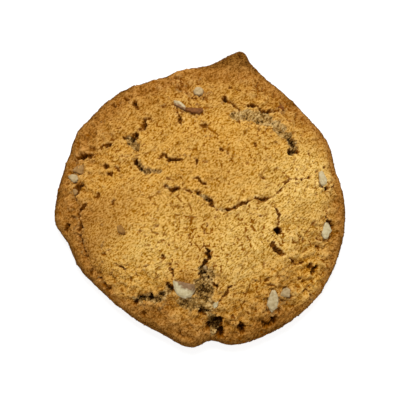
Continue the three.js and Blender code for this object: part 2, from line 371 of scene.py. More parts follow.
# %% Outlines of the nuts
# Without skin: it would start farther out than any nut reaches.
BARE = (0, 9, 30)
PECANS = {
    "front_half": (1.3, (0.0, 0.15), 0.0, (64, -0.25, 6), [
        (-7.9, -27.0), (-6.1, -27.2), (-4.2, -27.7), (-1.8, -28.1), (-1.3, -29.6), (-2.6, -31.7),
        (-4.5, -32.1), (-6.6, -31.3), (-7.5, -29.4)]),
    "front_slab": (0.9, (0.05, 0.0), 0.25, BARE, [
        (20.7, -29.4), (21.7, -29.6), (22.6, -31.7), (22.4, -34.3), (20.5, -35.8), (19.1, -33.7),
        (19.8, -31.2)]),
    "front_chip": (0.8, (0.0, 0.08), 0.5, (20, 1.2, 30), [
        (22.9, -30.6), (24.0, -29.0), (25.1, -28.7), (26.3, -29.3), (25.9, -31.4), (23.0, -31.4)]),
    "right_chip": (0.8, (0.0, 0.05), 0.0, (50, 1.9, 30), [
        (36.0, -10.7), (36.5, -9.5), (37.5, -9.4), (38.5, -11.7), (37.2, -14.2), (36.1, -14.3),
        (35.3, -13.1)]),
    "right_back": (0.8, (0.0, 0.0), 0.15, BARE, [
        (35.0, 5.5), (36.1, 6.4), (37.6, 3.5), (37.2, 1.9), (35.9, 1.2), (35.1, 2.3)]),
    "left_upper": (0.8, (-0.1, 0.1), 0.9, BARE, [
        (-36.6, 7.7), (-34.6, 7.9), (-34.3, 6.0), (-34.7, 5.0), (-35.8, 5.1), (-37.5, 6.0), (-37.9, 6.7)]),
    "left_lower": (0.9, (0.0, 0.1), 0.4, (40, 1.1, 30), [
        (-39.3, 4.9), (-37.9, 5.3), (-36.0, 4.7), (-35.8, 3.5), (-36.4, 2.7), (-37.5, 2.6), (-38.7, 3.9)]),
    "left_fleck": (0.5, (0.0, 0.0), 0.85, BARE, [
        (-37.7, 0.6), (-36.8, 0.7), (-35.9, -0.1), (-36.1, -1.1), (-37.0, -1.3)]),
    "back_oval": (0.8, (0.05, -0.05), 0.5, BARE, [
        (-2.2, 30.2), (-1.3, 31.6), (0.1, 31.6), (1.1, 30.4), (0.7, 28.9), (-0.4, 28.5), (-1.7, 29.0)]),
    "shaving_start": (0.7, (0.0, 0.1), 0.2, (-122, -0.2, 30), [
        (-7.9, 27.1), (-6.3, 27.0), (-4.7, 25.5), (-4.1, 24.4), (-4.4, 23.7), (-6.3, 24.7), (-7.7, 25.6)]),
    "shaving_end": (0.7, (0.0, 0.1), 0.6, (0, -9, 30), [
        (-4.8, 24.7), (-2.9, 24.3), (-0.6, 24.0), (0.8, 24.3), (1.3, 23.5), (-0.3, 22.5), (-2.4, 22.9),
        (-4.4, 23.7)]),
    "left_bump": (0.7, (0.0, 0.0), 1.0, (-100, 0.9, 30), [
        (-24.1, -11.1), (-23.1, -10.7), (-21.8, -12.3), (-21.6, -13.2), (-22.8, -13.5), (-23.9, -12.7)]),
    "back_lump": (0.7, (0.0, 0.0), 1.0, (-150, -1.0, 30), [
        (23.1, 25.6), (24.0, 26.7), (25.0, 26.2), (25.1, 25.0), (24.2, 24.1), (23.2, 24.4)]),
    "split_fleck": (0.5, (0.0, 0.0), 0.6, (0, 0.1, 30), [
        (0.8, -22.9), (1.7, -22.5), (2.2, -23.2), (1.7, -24.0), (1.0, -23.7)]),
    "split_sliver": (0.6, (0.0, 0.0), 0.0, BARE, [
        (3.5, -33.8), (4.6, -32.7), (5.3, -33.0), (4.9, -34.4), (4.0, -34.9)]),
}
print(len(PECANS), "pieces of pecan show")


# %% [markdown]
# Where the crust tore
# Cracks are paths over the crust with a width and a depth, in millimetres. Torn troughs are wider and show
# the soft crumb, dents are shallow folds, and pits are short: a place, a width and a depth. Cutting them as
# solids would take hundreds of booleans. Instead they become clouds of points that carry their half width
# and depth, close enough together to act as lines, so that the node tree below can ask, from anywhere on the
# crust, which crack is nearest.

# %% Named cracks
CRACKS = {
    "start_line": (1.4, 1.8, [(-17.9, 9.5), (-18.9, 8.1), (-17.4, 6.2), (-16.1, 5.2), (-14.4, 5.3)]),
    "main_left": (1.4, 1.3, [(-10.8, 1.1), (-8.8, -0.4), (-7, -0.3), (-3.8, -0.7), (-2.7, -1.9)]),
    "main_step": (0.8, 0.9, [(-9.7, 3.2), (-8.2, 1.7)]),
    "main_window": (1.3, 1.4, [(-2.9, -1.5), (-0.9, -1.0), (0.2, -2.5)]),
    "main_middle": (1.3, 1.4, [(0.2, -2.5), (2.5, -3.4), (3.2, -4.6), (3.7, -5.5), (5.1, -6.9)]),
    "main_right": (1.5, 1.4, [
        (5, -6.9), (7.5, -6.5), (10.1, -5.7), (12.4, -4.5), (15.6, -3.3), (18.2, -3.2), (21.4, -2.5)]),
    "main_end": (1.0, 1.1, [(22, -1.7), (23.5, -0.2), (24.6, 1.3), (26.4, 3.1)]),
    "main_far": (0.8, 0.9, [(26.5, 2.9), (28.6, 3.2), (31.0, 3.3), (33.2, 4.6)]),
    "right_lead": (0.9, 1.2, [(21.7, -5), (22.7, -7.1), (22.8, -9.4), (22.7, -11.0)]),
    "right_hole": (1.85, 2.6, [(22.6, -10.8), (22.5, -12.3), (22.3, -13.8)]),
    "right_tail": (1.8, 1.3, [(20.6, -15.6), (21.8, -17.6), (23.9, -19.4)]),
    "right_end": (1.2, 1.2, [(25.9, -20.1), (26.8, -21.2), (28, -22.3), (30, -21.5)]),
    "front_upper": (1.2, 1.5, [(0.8, -16.7), (1.8, -18), (2.5, -20.6), (1.1, -22.3), (-0.2, -23.8)]),
    "front_stub": (1.1, 1.3, [(-8.3, -21.8), (-9.1, -23.4), (-7.8, -24.8), (-8.1, -27.1)]),
    "front_right": (0.9, 1.1, [(10.5, -28), (8.2, -29), (7.4, -30.5), (5.9, -32.2), (4.5, -34.4)]),
    "front_loop": (0.9, 1.1, [(2.8, -27.1), (3.7, -27.7), (4.8, -28.6), (4.9, -30.3)]),
    "trough_lead": (0.9, 1.0, [(8.0, 27.0), (8.9, 26.4), (10.8, 25.3), (11.9, 24.0), (13.1, 23.9)]),
    "trough_back": (1.8, 1.55, [
        (14.1, 25.1), (15.2, 25.5), (16.6, 25.4), (17.9, 24.5), (19.4, 24.0), (21.7, 24.0), (23.3, 24.5)]),
    "left_edge": (1.5, 1.3, [(-38.6, 9.6), (-34.5, 10.6), (-32, 10.5), (-30.5, 10.8)]),
    "left_inner": (1.4, 1.2, [(-29.9, 12.3), (-27.8, 13.3), (-25.5, 14.6)]),
    "back_left": (1.3, 1.2, [(-14.9, 21.8), (-16.3, 20.6), (-16.5, 19), (-18.4, 17.4)]),
    "back_nick": (0.8, 0.8, [(-9.3, 28.1), (-10.5, 26.1), (-11.7, 24.7)]),
    "back_middle": (1.5, 1.2, [(-8.4, 27), (-7.2, 24), (-5.8, 21.3), (-5.5, 18.8)]),
    "back_middle_end": (1.1, 1.2, [(-6.9, 23.2), (-5.8, 21.2), (-5.4, 18.4)]),
    "back_line": (0.8, 0.9, [(-3.4, 28), (-0.3, 27.9), (1.7, 27.8), (3.4, 28.2)]),
    "back_rough": (1.2, 0.7, [(-9.1, 35.9), (-6.0, 34.3), (-5.6, 31.9), (-4.0, 29.9), (-2.8, 28.3)]),
    "back_rough_branch": (0.8, 0.8, [(-2.5, 34.6), (-1.5, 33.1)]),
    "back_rough_left": (1.0, 0.6, [(-7.6, 33.2), (-6.6, 31.6), (-5.0, 30.6)]),
    "wrinkle": (1.2, 1.2, [(-13.2, 8.3), (-10.8, 10.1), (-8.8, 8.6), (-6.5, 8.6), (-5, 7.8)]),
    "wrinkle_end": (0.5, 0.5, [(-4.5, 10.1), (-3.3, 8.4)]),
    "wrinkle_right": (0.9, 1.0, [(-2.1, 8.9), (-1.5, 7.7), (-1.1, 6.5)]),
    "middle_slit": (1.0, 1.0, [(-2.4, 2.9), (-0.7, 2.9), (0.5, 1.7), (2.5, -0.1)]),
    "upper_slit": (0.6, 0.6, [(7.3, 11), (9, 9.2)]),
    "plate_slit": (0.7, 0.7, [(17.7, 3.6), (19.2, 2.4)]),
    "right_slit": (0.8, 0.9, [(14.7, -7.5), (16.7, -7.9), (18.4, -8.9)]),
    "lower_slit": (0.8, 0.8, [(3.1, -10.5), (1.7, -11.6), (1.1, -14)]),
    "back_slit": (1.6, 1.2, [(-0.1, 19.4), (1.1, 18.9), (2.3, 18.7)]),
    "far_right_slit": (0.6, 0.5, [(32.8, 10.1), (33.5, 8.6)]),
    "left_slit": (0.9, 0.9, [(-24.5, -21.9), (-21.7, -23.6)]),
    "right_branch": (0.5, 0.5, [(23, -23.6), (25, -23.2), (26.8, -22)]),
    "right_arc": (1.3, 1.4, [(31.3, -28.9), (32.1, -30.5), (32.4, -32.3)]),
    "crease_upper": (1.7, 1.2, [(-33.6, -4.2), (-35.3, -6.9), (-35.5, -10.6), (-35.8, -12.6)]),
    "crease_lower": (1.3, 1.1, [(-35.6, -13.0), (-34.7, -16.8), (-34.2, -18.8)]),
    "crease_start": (1.1, 0.9, [(-35.9, 0.2), (-36.9, -2.8)]),
    "plain_line": (0.6, 0.7, [(-13.8, -12.4), (-12.3, -10.9)]),
    "back_pit": (1.9, 1.6, [(6.6, 28.2), (8.3, 26.8)]),
    "left_rim_nick": (1.2, 1.0, [(-30.2, -26.5), (-28.6, -26.3), (-27.2, -28.9)]),
    "left_curl": (0.5, 0.4, [(-23.5, 9.5), (-21.8, 9.7), (-20.3, 8.5)]),
    "left_dash": (0.5, 0.4, [(-24, 4), (-21.4, 3.9)]),
    "plain_dash": (0.4, 0.4, [(-14.6, -1.9), (-12.8, -1.6), (-11.4, -1.6)]),
    "lower_dash": (0.4, 0.4, [(-3.5, -8.7), (-1.5, -8.4)]),
    "right_dash": (0.4, 0.4, [(29.8, -19.6), (30.1, -17)]),
    "front_dash": (0.4, 0.4, [(-11, -21.4), (-10.4, -19.7)]),
    "right_back_under": (1.2, 1.6, [(35.1, 2.1), (36.2, 1.1), (37.8, 1.3), (39.4, 1.3)]),
    "right_back_over": (0.7, 0.8, [(36.5, 7.3), (37.6, 7.7)]),
    "right_chip_over": (0.8, 0.8, [(37.1, -8.8), (37.6, -6.0)]),
    "split_line": (1.6, 2.2, [(0.3, -34.4), (1.0, -36.3)]),
    "front_half_under": (1.2, 1.3, [(-5.9, -32.8), (-2.6, -32.9)]),
}
print(len(CRACKS), "named cracks")


# %% Troughs and dents
TROUGHS = {
    "torn_start": (1.3, 1.2, [(-17.6, 8.6), (-17.6, 7.0), (-15.9, 5.0), (-13.9, 5.0), (-11.2, 5)]),
    "front_split": (4.6, 1.3, [(-0.1, -23.5), (1.9, -25.7), (0.8, -29.4), (1.7, -33.3), (2.5, -35.8)]),
    "front_cross": (3.0, 1.05, [(-6.4, -32.9), (-3.2, -33.6), (0.2, -33.3), (4.6, -33.8)]),
    "front_mouth": (2.4, 1.2, [(2.9, -36.5), (4.0, -39.4), (3.6, -42.3)]),
    "front_left": (2.2, 1.3, [
        (-19.4, -31.3), (-17.4, -32.2), (-14.5, -31.7), (-12.4, -32.1), (-10.1, -30.4), (-8.7, -28.5)]),
    "torn_trough": (3.6, 0.95, [
        (9.3, 22.2), (13.2, 22.4), (17.0, 22.0), (20.1, 21.2), (23.1, 19.3), (25.4, 16.2)]),
    "trough_end": (3.2, 1.3, [(25.6, 17.0), (27.4, 13.8), (27.5, 10.9)]),
    "left_torn": (2.4, 1.4, [(-21.9, 15.6), (-19.8, 14.3), (-18.6, 11.7)]),
    "main_left_floor": (0.8, 0.8, [(-10.0, 0.5), (-8.9, -0.2)]),
    "main_middle_floor": (0.8, 0.8, [(0.0, -2.1), (1.2, -2.7), (2.4, -3.6)]),
    "main_right_floor": (1.1, 0.8, [(5.6, -6.8), (7.2, -6.5)]),
}
DENTS = {
    "edge_crease": (4.4, 0.9, [
        (-36.8, -1.9), (-35.5, -7.1), (-35.5, -12.2), (-34.3, -17.4), (-31.9, -22.6), (-27.8, -27.3)]),
    "front_dip": (3.0, 0.5, [(14.8, -27.8), (17.6, -27.4)]),
}
print(len(TROUGHS), "torn troughs and", len(DENTS), "dents")


# %% Named pits
PITS = [
    (27.1, 14.9, 2.6, 1.9), (27.9, 13.5, 1.6, 1.6), (27.5, 11.7, 2.4, 2.0), (4.3, -39.1, 3.4, 2.8),
    (1.3, -35.6, 2.4, 1.9), (5.3, -41.4, 2.0, 1.9), (12.0, -40.0, 2.2, 1.8), (19.6, -39.2, 2.2, 1.7),
    (21.6, -38.0, 1.5, 1.3), (-19.1, 25.7, 2.2, 1.5), (-19.4, 15.6, 1.9, 1.8), (-21.9, 15.6, 1.7, 1.7),
    (-18.6, 12.3, 1.5, 1.6), (32.2, -22.4, 1.3, 1.0), (33.5, -23.0, 1.5, 1.6), (32.8, -24.3, 1.3, 1.5),
    (30, -21.5, 1.2, 1.0), (-35.7, 1.3, 2.3, 1.5), (-30.2, -1.8, 1.4, 1.0), (-27.8, 7.0, 1.5, 1.2),
    (-26.4, 4.4, 1.5, 1.2), (-24.3, 5.9, 1.4, 1.2), (-25.2, -4.1, 1.2, 0.8), (16.1, 13.3, 1.0, 0.8),
    (-16.6, -36, 1.3, 0.9), (-27.2, -28.7, 1.2, 0.8), (26.8, 20.9, 1.0, 0.6), (26.8, 27.3, 1.2, 0.7),
    (29.1, 23.7, 1.2, 0.7), (-39.3, -10.6, 1.9, 1.3), (22.7, -35.3, 1.4, 0.8), (28.8, -26.2, 1.3, 0.8),
    (21.9, -36.7, 1.4, 0.9), (14, 7.4, 0.8, 0.5), (-3.5, -14.3, 0.8, 0.5), (-26.3, 26.9, 1.8, 1.2),
    (-24.5, 26.9, 1.3, 1.0), (-22.3, 28.7, 1.4, 1.1), (39.7, 1.9, 1.1, 0.7), (36.4, -16.1, 1.1, 0.7),
    (34.3, -16.8, 0.9, 0.6), (24.7, -23.2, 0.8, 0.5), (-14.5, -31.4, 1.7, 2.0), (-18.1, -32.5, 2.3, 2.4),
    (-11.2, -31.0, 1.6, 2.0), (38.3, -9.7, 1.8, 1.7), (34.6, -14.7, 1.0, 0.8), (38.8, -13.1, 1.0, 0.8),
    (0.8, -25.4, 2.2, 1.8), (2.5, -26.5, 1.4, 1.6), (1.0, -29.4, 2.6, 1.9), (-0.3, -30.5, 1.6, 1.8),
    (-8.8, -28.7, 2.0, 1.8), (-10.8, -20.1, 1.0, 0.9), (-32.2, -24.0, 1.2, 0.9), (9.2, 31.2, 1.0, 0.8),
    (11.5, 30.6, 1.0, 0.8), (6.3, 11.5, 1.0, 0.9),
]
print(len(PITS), "named pits")


# %% [markdown]
# From a path to a cloud of points
# A crack never keeps one width: it gapes where the dough was weak and narrows towards its ends. Curve objects
# could hold the paths, but their widths would be set by hand. Here a smooth curve runs through each path's
# way-points, and a noise along it opens and closes the crack within limits.

# %% Points along a path
POINT_STEP = 0.1


def smooth_path(path):
    """Points every POINT_STEP along a curve through the way-points, with how far along each one lies."""
    way = np.array([path[0]] + list(path) + [path[-1]], dtype=float)
    points = []
    for a, b, c, d in zip(way[:-3], way[1:-2], way[2:-1], way[3:]):
        count = max(2, int(np.hypot(*(c - b)) / POINT_STEP))
        t = np.linspace(0, 1, count, endpoint=False)[:, None]
        points.append(0.5 * (2 * b + (c - a) * t + (2 * a - 5 * b + 4 * c - d) * t ** 2
                             + (3 * b - a - 3 * c + d) * t ** 3))
    points = np.concatenate(points)
    return points, np.linspace(0, 1, len(points))


print("a straight path of 5 mm becomes", len(smooth_path([(0, 0), (5, 0)])[0]), "points")


# %% Clouds of cracks
TIP_OPEN = 0.3
GAPE_LENGTH = 1.5
GAPE_LIMITS = (0.3, 1.3)
# The noise's roughness, the ratio of its layers' sizes, and how many layers it has.
GAPE_NOISE = (0.6, 2.4, 2)


def crack_cloud(name, lines, gape, tip=TIP_OPEN):
    """A mesh of bare points, each with its crack's half width and depth there. A crack gapes at random along
    its way, and its ends taper to tip."""
    places, halves, depths = [], [], []
    for width, depth, path in lines:
        points, along = smooth_path(path)
        is_open = tip + (1 - tip) * np.sqrt(np.sin(np.pi * along))
        stretch = GAPE_LENGTH * max(1, width)
        swing = np.array([noise.fractal(Vector((*p, 0)) / stretch, *GAPE_NOISE) for p in points])
        gapes = is_open * np.clip(1 + gape * swing, *GAPE_LIMITS)
        places.append(points)
        halves.append(width / 2 * gapes)
        depths.append(depth * gapes)
    places = np.concatenate(places)
    cloud = bpy.data.meshes.new(name)
    cloud.vertices.add(len(places))
    flat = np.column_stack([places, np.zeros(len(places))]) * MM
    cloud.vertices.foreach_set("co", flat.astype(np.float32).ravel())
    set_attribute(cloud, "half_width", np.concatenate(halves) * MM)
    set_attribute(cloud, "depth", np.concatenate(depths) * MM)
    print(name, "has", len(places), "points")
    return add_object(name, cloud)


nets = {
    "Troughs": crack_cloud("trough_net", TROUGHS.values(), gape=0.5),
    "Dents": crack_cloud("dent_net", DENTS.values(), gape=0.3),
}


# %% [markdown]
# Moats, short splits and small pits
# Round each nut the dough shrank and left a thin moat. It is cut only along the nut's front, where the shade
# beside a nut falls, and it takes the cracks' painted shade. All over the crust there are also splits and
# pits too small to name. Drawing each would take hours and look no truer, so a seeded draw places them:
# splits mostly turned the way that the dough was pulled, and pits in the rough band inside the rim, away
# from the named ones.

# %% Moats and short splits
# A moat's width and depth, how far outside its nut it runs, and the part of the outline that it follows.
MOAT = (0.8, 0.5)
MOAT_SPREAD = 1.1
MOAT_ARC = np.radians(np.arange(-185, 10, 15))
SPLITS = 110
SPLIT_BAND = 0.88
SPLIT_WIDTH = (0.35, 0.65)
SPLIT_DEPTH = 0.8
SPLIT_LENGTH = (0.8, 2.6)
# The usual turn and how far most splits stray from it, in degrees.
SPLIT_TURN = (50, 38)
SPLIT_BEND = 0.25


def moat_path(outline):
    """The front part of a nut's outline, a little outside it."""
    middle = np.mean(outline, axis=0)
    away = np.array(outline) - middle
    reach = np.interp(MOAT_ARC, np.arctan2(away[:, 1], away[:, 0]), np.hypot(*away.T), period=2 * np.pi)
    return list(middle + MOAT_SPREAD * np.column_stack([reach * np.cos(MOAT_ARC), reach * np.sin(MOAT_ARC)]))


def random_splits():
    """Short splits all over the crust, most of them turned one way."""
    draw = np.random.default_rng(SEED)
    lines = []
    for _ in range(SPLITS):
        at = draw.uniform(0, 360)
        middle = SPLIT_BAND * rim_reach(at) * math.sqrt(draw.uniform()) * heading(math.radians(at))
        turn = math.radians(draw.normal(*SPLIT_TURN))
        half = draw.uniform(*SPLIT_LENGTH) / 2 * heading(turn)
        width = draw.uniform(*SPLIT_WIDTH)
        bent = middle + draw.normal(0, SPLIT_BEND, 2)
        lines.append((width, width * SPLIT_DEPTH, [middle - half, bent, middle + half]))
    return lines


# Moats are cut like cracks, so they take the cracks' painted shade.
moats = [(*MOAT, moat_path(outline)) for *_, outline in PECANS.values()]
nets["Cracks"] = crack_cloud("crack_net", list(CRACKS.values()) + moats + random_splits(), gape=1.0)


# %% Pits as short cracks
PIT_LENGTH = 0.35
RIM_PITS = 60
RIM_PIT_BAND = (0.7, 0.96)
RIM_PIT_WIDTH = (0.5, 1.3)
RIM_PIT_DEPTH = 0.6
RIM_PIT_CLEAR = 1.0


def rim_pits(draw):
    """Small pits at random in the rough band inside the rim, clear of the named ones."""
    turns = draw.uniform(0, 360, RIM_PITS)
    reaches = draw.uniform(*RIM_PIT_BAND, RIM_PITS) * rim_reach(turns)
    widths = draw.uniform(*RIM_PIT_WIDTH, RIM_PITS)
    places = np.column_stack([reaches * np.cos(np.radians(turns)), reaches * np.sin(np.radians(turns))])
    named = np.array(PITS)
    gaps = np.hypot(*(places[:, None] - named[:, :2]).T).T - named[:, 2]
    return [(*place, width, width * RIM_PIT_DEPTH)
            for place, width, gap in zip(places, widths, gaps.min(axis=1)) if gap > RIM_PIT_CLEAR]


def pit_lines():
    """Pits as short paths, each turned its own way."""
    draw = np.random.default_rng(SEED)
    lines = []
    for px, py, width, depth in PITS + rim_pits(draw):
        half = PIT_LENGTH * width * heading(draw.uniform(0, math.pi))
        lines.append((width, depth, [np.array((px, py)) - half, np.array((px, py)) + half]))
    return lines


nets["Pits"] = crack_cloud("pit_net", pit_lines(), gape=0.5, tip=1.0)


# %% [markdown]
# Hairline splits
# Between the named cracks the dry skin of the dough split into little plates, but only here and there, so
# what shows is short bent cracklets. They are too many to place one by one, so a rule makes them: cells
# three millimetres wide stand for the plates, and a noise says how far the seam between two of them opened.
# Where it says less than nothing, no seam shows. The finish paints the seams dark as painted shade and the
# relief below sinks them, and both call this one function on the same places.

# %% Hairline splits
PLATE_SIZE = 2.8
BEND_SIZE = 0.9
BEND_REACH = 0.7
SEAM_LENGTH = 1.1
SEAM_CROWD_SIZE = 8.0
SEAM_CROWD = 0.4
SEAM_OPEN = (0.55, 0.8)
SEAM_HALF_WIDTH = 0.4
SEAM_SHUT = 0.001


def hairlines(tree, place, sharp, faint):
    """A socket: 1 in a split, fading to 0 beside it from sharp to faint half widths off its middle."""
    node = partial(add_node, tree)
    bend = node("ShaderNodeTexNoise", {"Vector": place, "Scale": per_mm(BEND_SIZE), "Detail": 1.0})
    bend = node("ShaderNodeVectorMath", {0: bend.outputs["Color"], 1: (0.5,) * 3}, operation="SUBTRACT")
    bent = node("ShaderNodeVectorMath", {0: bend, 1: (BEND_REACH * MM,) * 3, 2: place},
                operation="MULTIPLY_ADD")
    seam = node("ShaderNodeTexVoronoi", {"Vector": bent, "Scale": per_mm(PLATE_SIZE)},
                feature="DISTANCE_TO_EDGE", voronoi_dimensions="2D")

    opened = node("ShaderNodeTexNoise", {"Vector": place, "Scale": per_mm(SEAM_LENGTH), "Detail": 1.0})
    crowd = node("ShaderNodeTexNoise", {"Vector": place, "Scale": per_mm(SEAM_CROWD_SIZE), "Detail": 0.0})
    crowd = node("ShaderNodeMath", {0: crowd, 1: 0.5}, operation="SUBTRACT")
    opened = node("ShaderNodeMath", {0: crowd, 1: SEAM_CROWD, 2: opened}, operation="MULTIPLY_ADD")
    half_width = node("ShaderNodeMapRange", {
        "Value": opened, "From Min": SEAM_OPEN[0], "From Max": SEAM_OPEN[1],
        "To Min": SEAM_SHUT, "To Max": SEAM_HALF_WIDTH / PLATE_SIZE})
    off = node("ShaderNodeMath", {0: seam, 1: half_width}, operation="DIVIDE")
    return node("ShaderNodeMapRange", {
        "Value": off, "From Min": sharp, "From Max": faint, "To Min": 1.0, "To Max": 0.0}).outputs[0]


print("plates of dry skin are about", PLATE_SIZE, "mm wide")


# %% [markdown]
# The crust's finish
# Baked cookie crust is dried dough: matt, sandy, golden where it is pale and leather brown where it caught
# the heat. An even noise would look like felt, so grains and gaps are drawn as cells, in the size of the
# sugar and flour grains. Tone runs through a ramp from pale grain tops to dark gaps, one ramp for each kind
# of crust and one for torn crumb, mixed by what the relief below stores on the points; raised grain and lumps
# are painted paler and their hollows darker, as painted light and shade. Patterns read the
# place that a point had before it was carved, so they run straight through a crack's wall.

# %% Colours of the crust
GOLDEN = ("#E2B567", "#D8A755", "#CE9A47", "#B57C22", "#945C06")
YELLOW = ("#F0CB7E", "#E6BD6D", "#DAAE5B", "#C1923B", "#9C6A14")
TOASTED = ("#C6914E", "#B57F3C", "#A46E2C", "#8F5B1B", "#76460C")
# The darkest crust: real burnt crust, and painted shade along the rim's edge, where the edge band makes the
# browning highest.
BURNT_AND_EDGE_SHADE = ("#9A6C30", "#865A22", "#704614", "#583208", "#402002")
CRUMB = ("#D2B277", "#B69154", "#906A31", "#5C4018", "#2A1A06")
# Painted shade in cracks and pits: the ramp runs darker the deeper the cut.
CRACK_SHADE = ("#9A5C0C", "#7C4606", "#582C02", "#341600")
# Painted shade in the hairline splits.
HAIRLINE_SHADE = "#844A00"
PORE_DARK = "#7E4800"
# Painted shade at the bottom of the deepest cracks and pits.
DEEP_SHADE = "#2E1604"
# Pale lips of cracks: partly the pale dough that a tear shows, partly a painted highlight on the lip's edge.
PALE_DOUGH_AND_HIGHLIGHT = "#E6C07C"
print("golden crust runs from", GOLDEN[0], "to", GOLDEN[-1])


# %% Start the baked crust material
def new_material(name, surface):
    """A material with its surface values set, a function that adds nodes to it, and its shader."""
    material = bpy.data.materials.new(name)
    material.use_nodes = True
    shader = material.node_tree.nodes["Principled BSDF"]
    connect(shader, surface)
    return material, partial(add_node, material.node_tree), shader


# Dried dough scatters light inside its grains, so it looks soft and matt, with no shine at the edges.
crust_finish, node, crust_shader = new_material("oven_baked_cookie_crust", {
    "Roughness": 0.85, "IOR": 1.42, "Specular IOR Level": 0.01})
place = node("ShaderNodeAttribute", attribute_name="dough_place").outputs["Vector"]
stored = {name: node("ShaderNodeAttribute", attribute_name=name).outputs["Fac"]
          for name in ("browning", "yellow", "smooth", "crack", "torn", "sunk", "swell", "grain", "lip")}
print("the finish reads", ", ".join(stored))


# %% Tone of the grain
PULL_TURN = math.radians(-40)
PULL_STRETCH = (0.6, 1.2, 1.0)
# Size and strength of the mottle, the speckle and the sand. The finest grains of sugar are 0.2 mm: they are
# drawn at twice that, as coarse as it takes to show.
CRUST_PATTERNS = [(7, 0.08), (1.1, 0.5), (0.42, 2.9)]
CRUST_TONE = 0.45
PALE_LIMIT = 0.075
CRUST_GRAIN = 0.4
CRUST_GRAIN_SIZE = 0.62
CRUST_GRAIN_MIDDLE = 0.45
RELIEF_LIGHT_AND_SHADE = {"grain": -0.3, "swell": -0.35}

# The dough was pulled one way as it dropped, so its grain is longer that way.
pulled = node("ShaderNodeVectorRotate", {"Vector": place, "Angle": PULL_TURN}, rotation_type="Z_AXIS")
pulled = node("ShaderNodeVectorMath", {0: pulled, 1: PULL_STRETCH}, operation="MULTIPLY")
tone = CRUST_TONE
patterns = []
for size, strength in CRUST_PATTERNS:
    pattern = node("ShaderNodeTexNoise", {"Vector": pulled, "Scale": per_mm(size), "Detail": 1.0})
    # Grain tops are much alike and the gaps between them aren't, so a pattern's pale side is cut short.
    off = node("ShaderNodeMapRange", {
        "Value": pattern, "From Min": 0.5 - PALE_LIMIT, "To Min": -PALE_LIMIT, "To Max": 0.5})
    tone = node("ShaderNodeMath", {0: off, 1: strength, 2: tone}, operation="MULTIPLY_ADD")
    patterns.append(pattern)
mottle, speckle, sand = patterns
cells = node("ShaderNodeTexVoronoi", {"Vector": place, "Scale": per_mm(CRUST_GRAIN_SIZE)}, feature="F1")
off = node("ShaderNodeMath", {0: cells, 1: CRUST_GRAIN_MIDDLE}, operation="SUBTRACT")
tone = node("ShaderNodeMath", {0: off, 1: CRUST_GRAIN, 2: tone}, operation="MULTIPLY_ADD")
# Painted light and shade: the crust is paler on raised grain and swells and darker in the hollows between them.
for name, strength in RELIEF_LIGHT_AND_SHADE.items():
    tone = node("ShaderNodeMath", {0: stored[name], 1: strength, 2: tone}, operation="MULTIPLY_ADD")
print("the grain takes", len(crust_finish.node_tree.nodes), "nodes")


# %% Tone of torn crumb and of lips
# Painted shade: from shallow to deep, torn crumb goes from a little paler than its own tone to much darker.
DEPTH_SHADE_RANGE = (0.8, 1.8)
DEPTH_SHADE = (-0.08, 0.4)
CRUMB_CONTRAST = 0.75
LIP_LIGHT_AND_SHADE = 2.2

depth_shade = node("ShaderNodeMapRange", {
    "Value": stored["sunk"], "From Min": DEPTH_SHADE_RANGE[0], "From Max": DEPTH_SHADE_RANGE[1],
    "To Min": DEPTH_SHADE[0], "To Max": DEPTH_SHADE[1]})
crumb_tone = node("ShaderNodeMath", {0: tone, 1: CRUMB_CONTRAST, 2: depth_shade}, operation="MULTIPLY_ADD")
# Painted light and shade on the lips beside cracks: the speckle makes one spot paler and the next darker.
lip_light_and_shade = node("ShaderNodeMath", {0: speckle, 1: LIP_LIGHT_AND_SHADE, 2: -LIP_LIGHT_AND_SHADE / 2}, operation="MULTIPLY_ADD")
tone = node("ShaderNodeMath", {0: stored["lip"], 1: lip_light_and_shade, 2: tone}, operation="MULTIPLY_ADD")
print("a lip's tone swings by", LIP_LIGHT_AND_SHADE, "times its speckle")


# %% [markdown]
# Kinds of crust and marks in it
# Heat leaves the crust yellow, toasted or burnt, and steam leaves pores; the burnt kind also carries painted
# shade along the rim's edge. Each has an amount from 0 to 1, read from the stored fields and broken up by the
# mottle, the speckle or the sand, because a real border between two colours of crust is ragged down to single
# grains. Painted masks would do it once, for one cookie only.

# %% How far each kind of crust shows
# Each kind: the field that it follows, how far the mottle moves it, and where it starts and is full.
CRUST_KINDS = {
    "yellow": ("yellow", 1.5, 0.65, 1.6),
    "toasted": ("browning", 0.5, 0.22, 0.8),
    # The burnt kind also carries painted shade along the rim's edge.
    "burnt": ("browning", 0.8, 1.25, 1.9),
}
amounts = {}
for kind, (field, mottling, begin, full) in CRUST_KINDS.items():
    level = node("ShaderNodeMath", {0: mottle, 1: mottling, 2: stored[field]}, operation="MULTIPLY_ADD")
    amounts[kind] = node("ShaderNodeMapRange", {"Value": level, "From Min": begin, "From Max": full})
print("kinds of crust:", ", ".join(amounts))


# %% How far each mark shows
PORE_SIZE = 1.5
PORE_RAGGED = 0.65
PORE_CROWDS = 0.28
PORES_FEWER = 0.12
TORN_SPECKLE = 0.8
TORN_SAND = 0.6
CRACK_RAGGED = 3.0
# The crack and deep marks are painted shade inside cuts, stronger the deeper the cut.
# Where each mark starts, where it is full, and how much of the colour below it then covers.
MARKS = {
    "pores": (0.455, 0.28, 0.95), "pale": (0.52, 0.66, 0.3), "torn": (1.1, 1.3, 0.95),
    "dark": (0.09, 0.28, 0.95), "deep": (0.6, 1.0, 0.8),
}

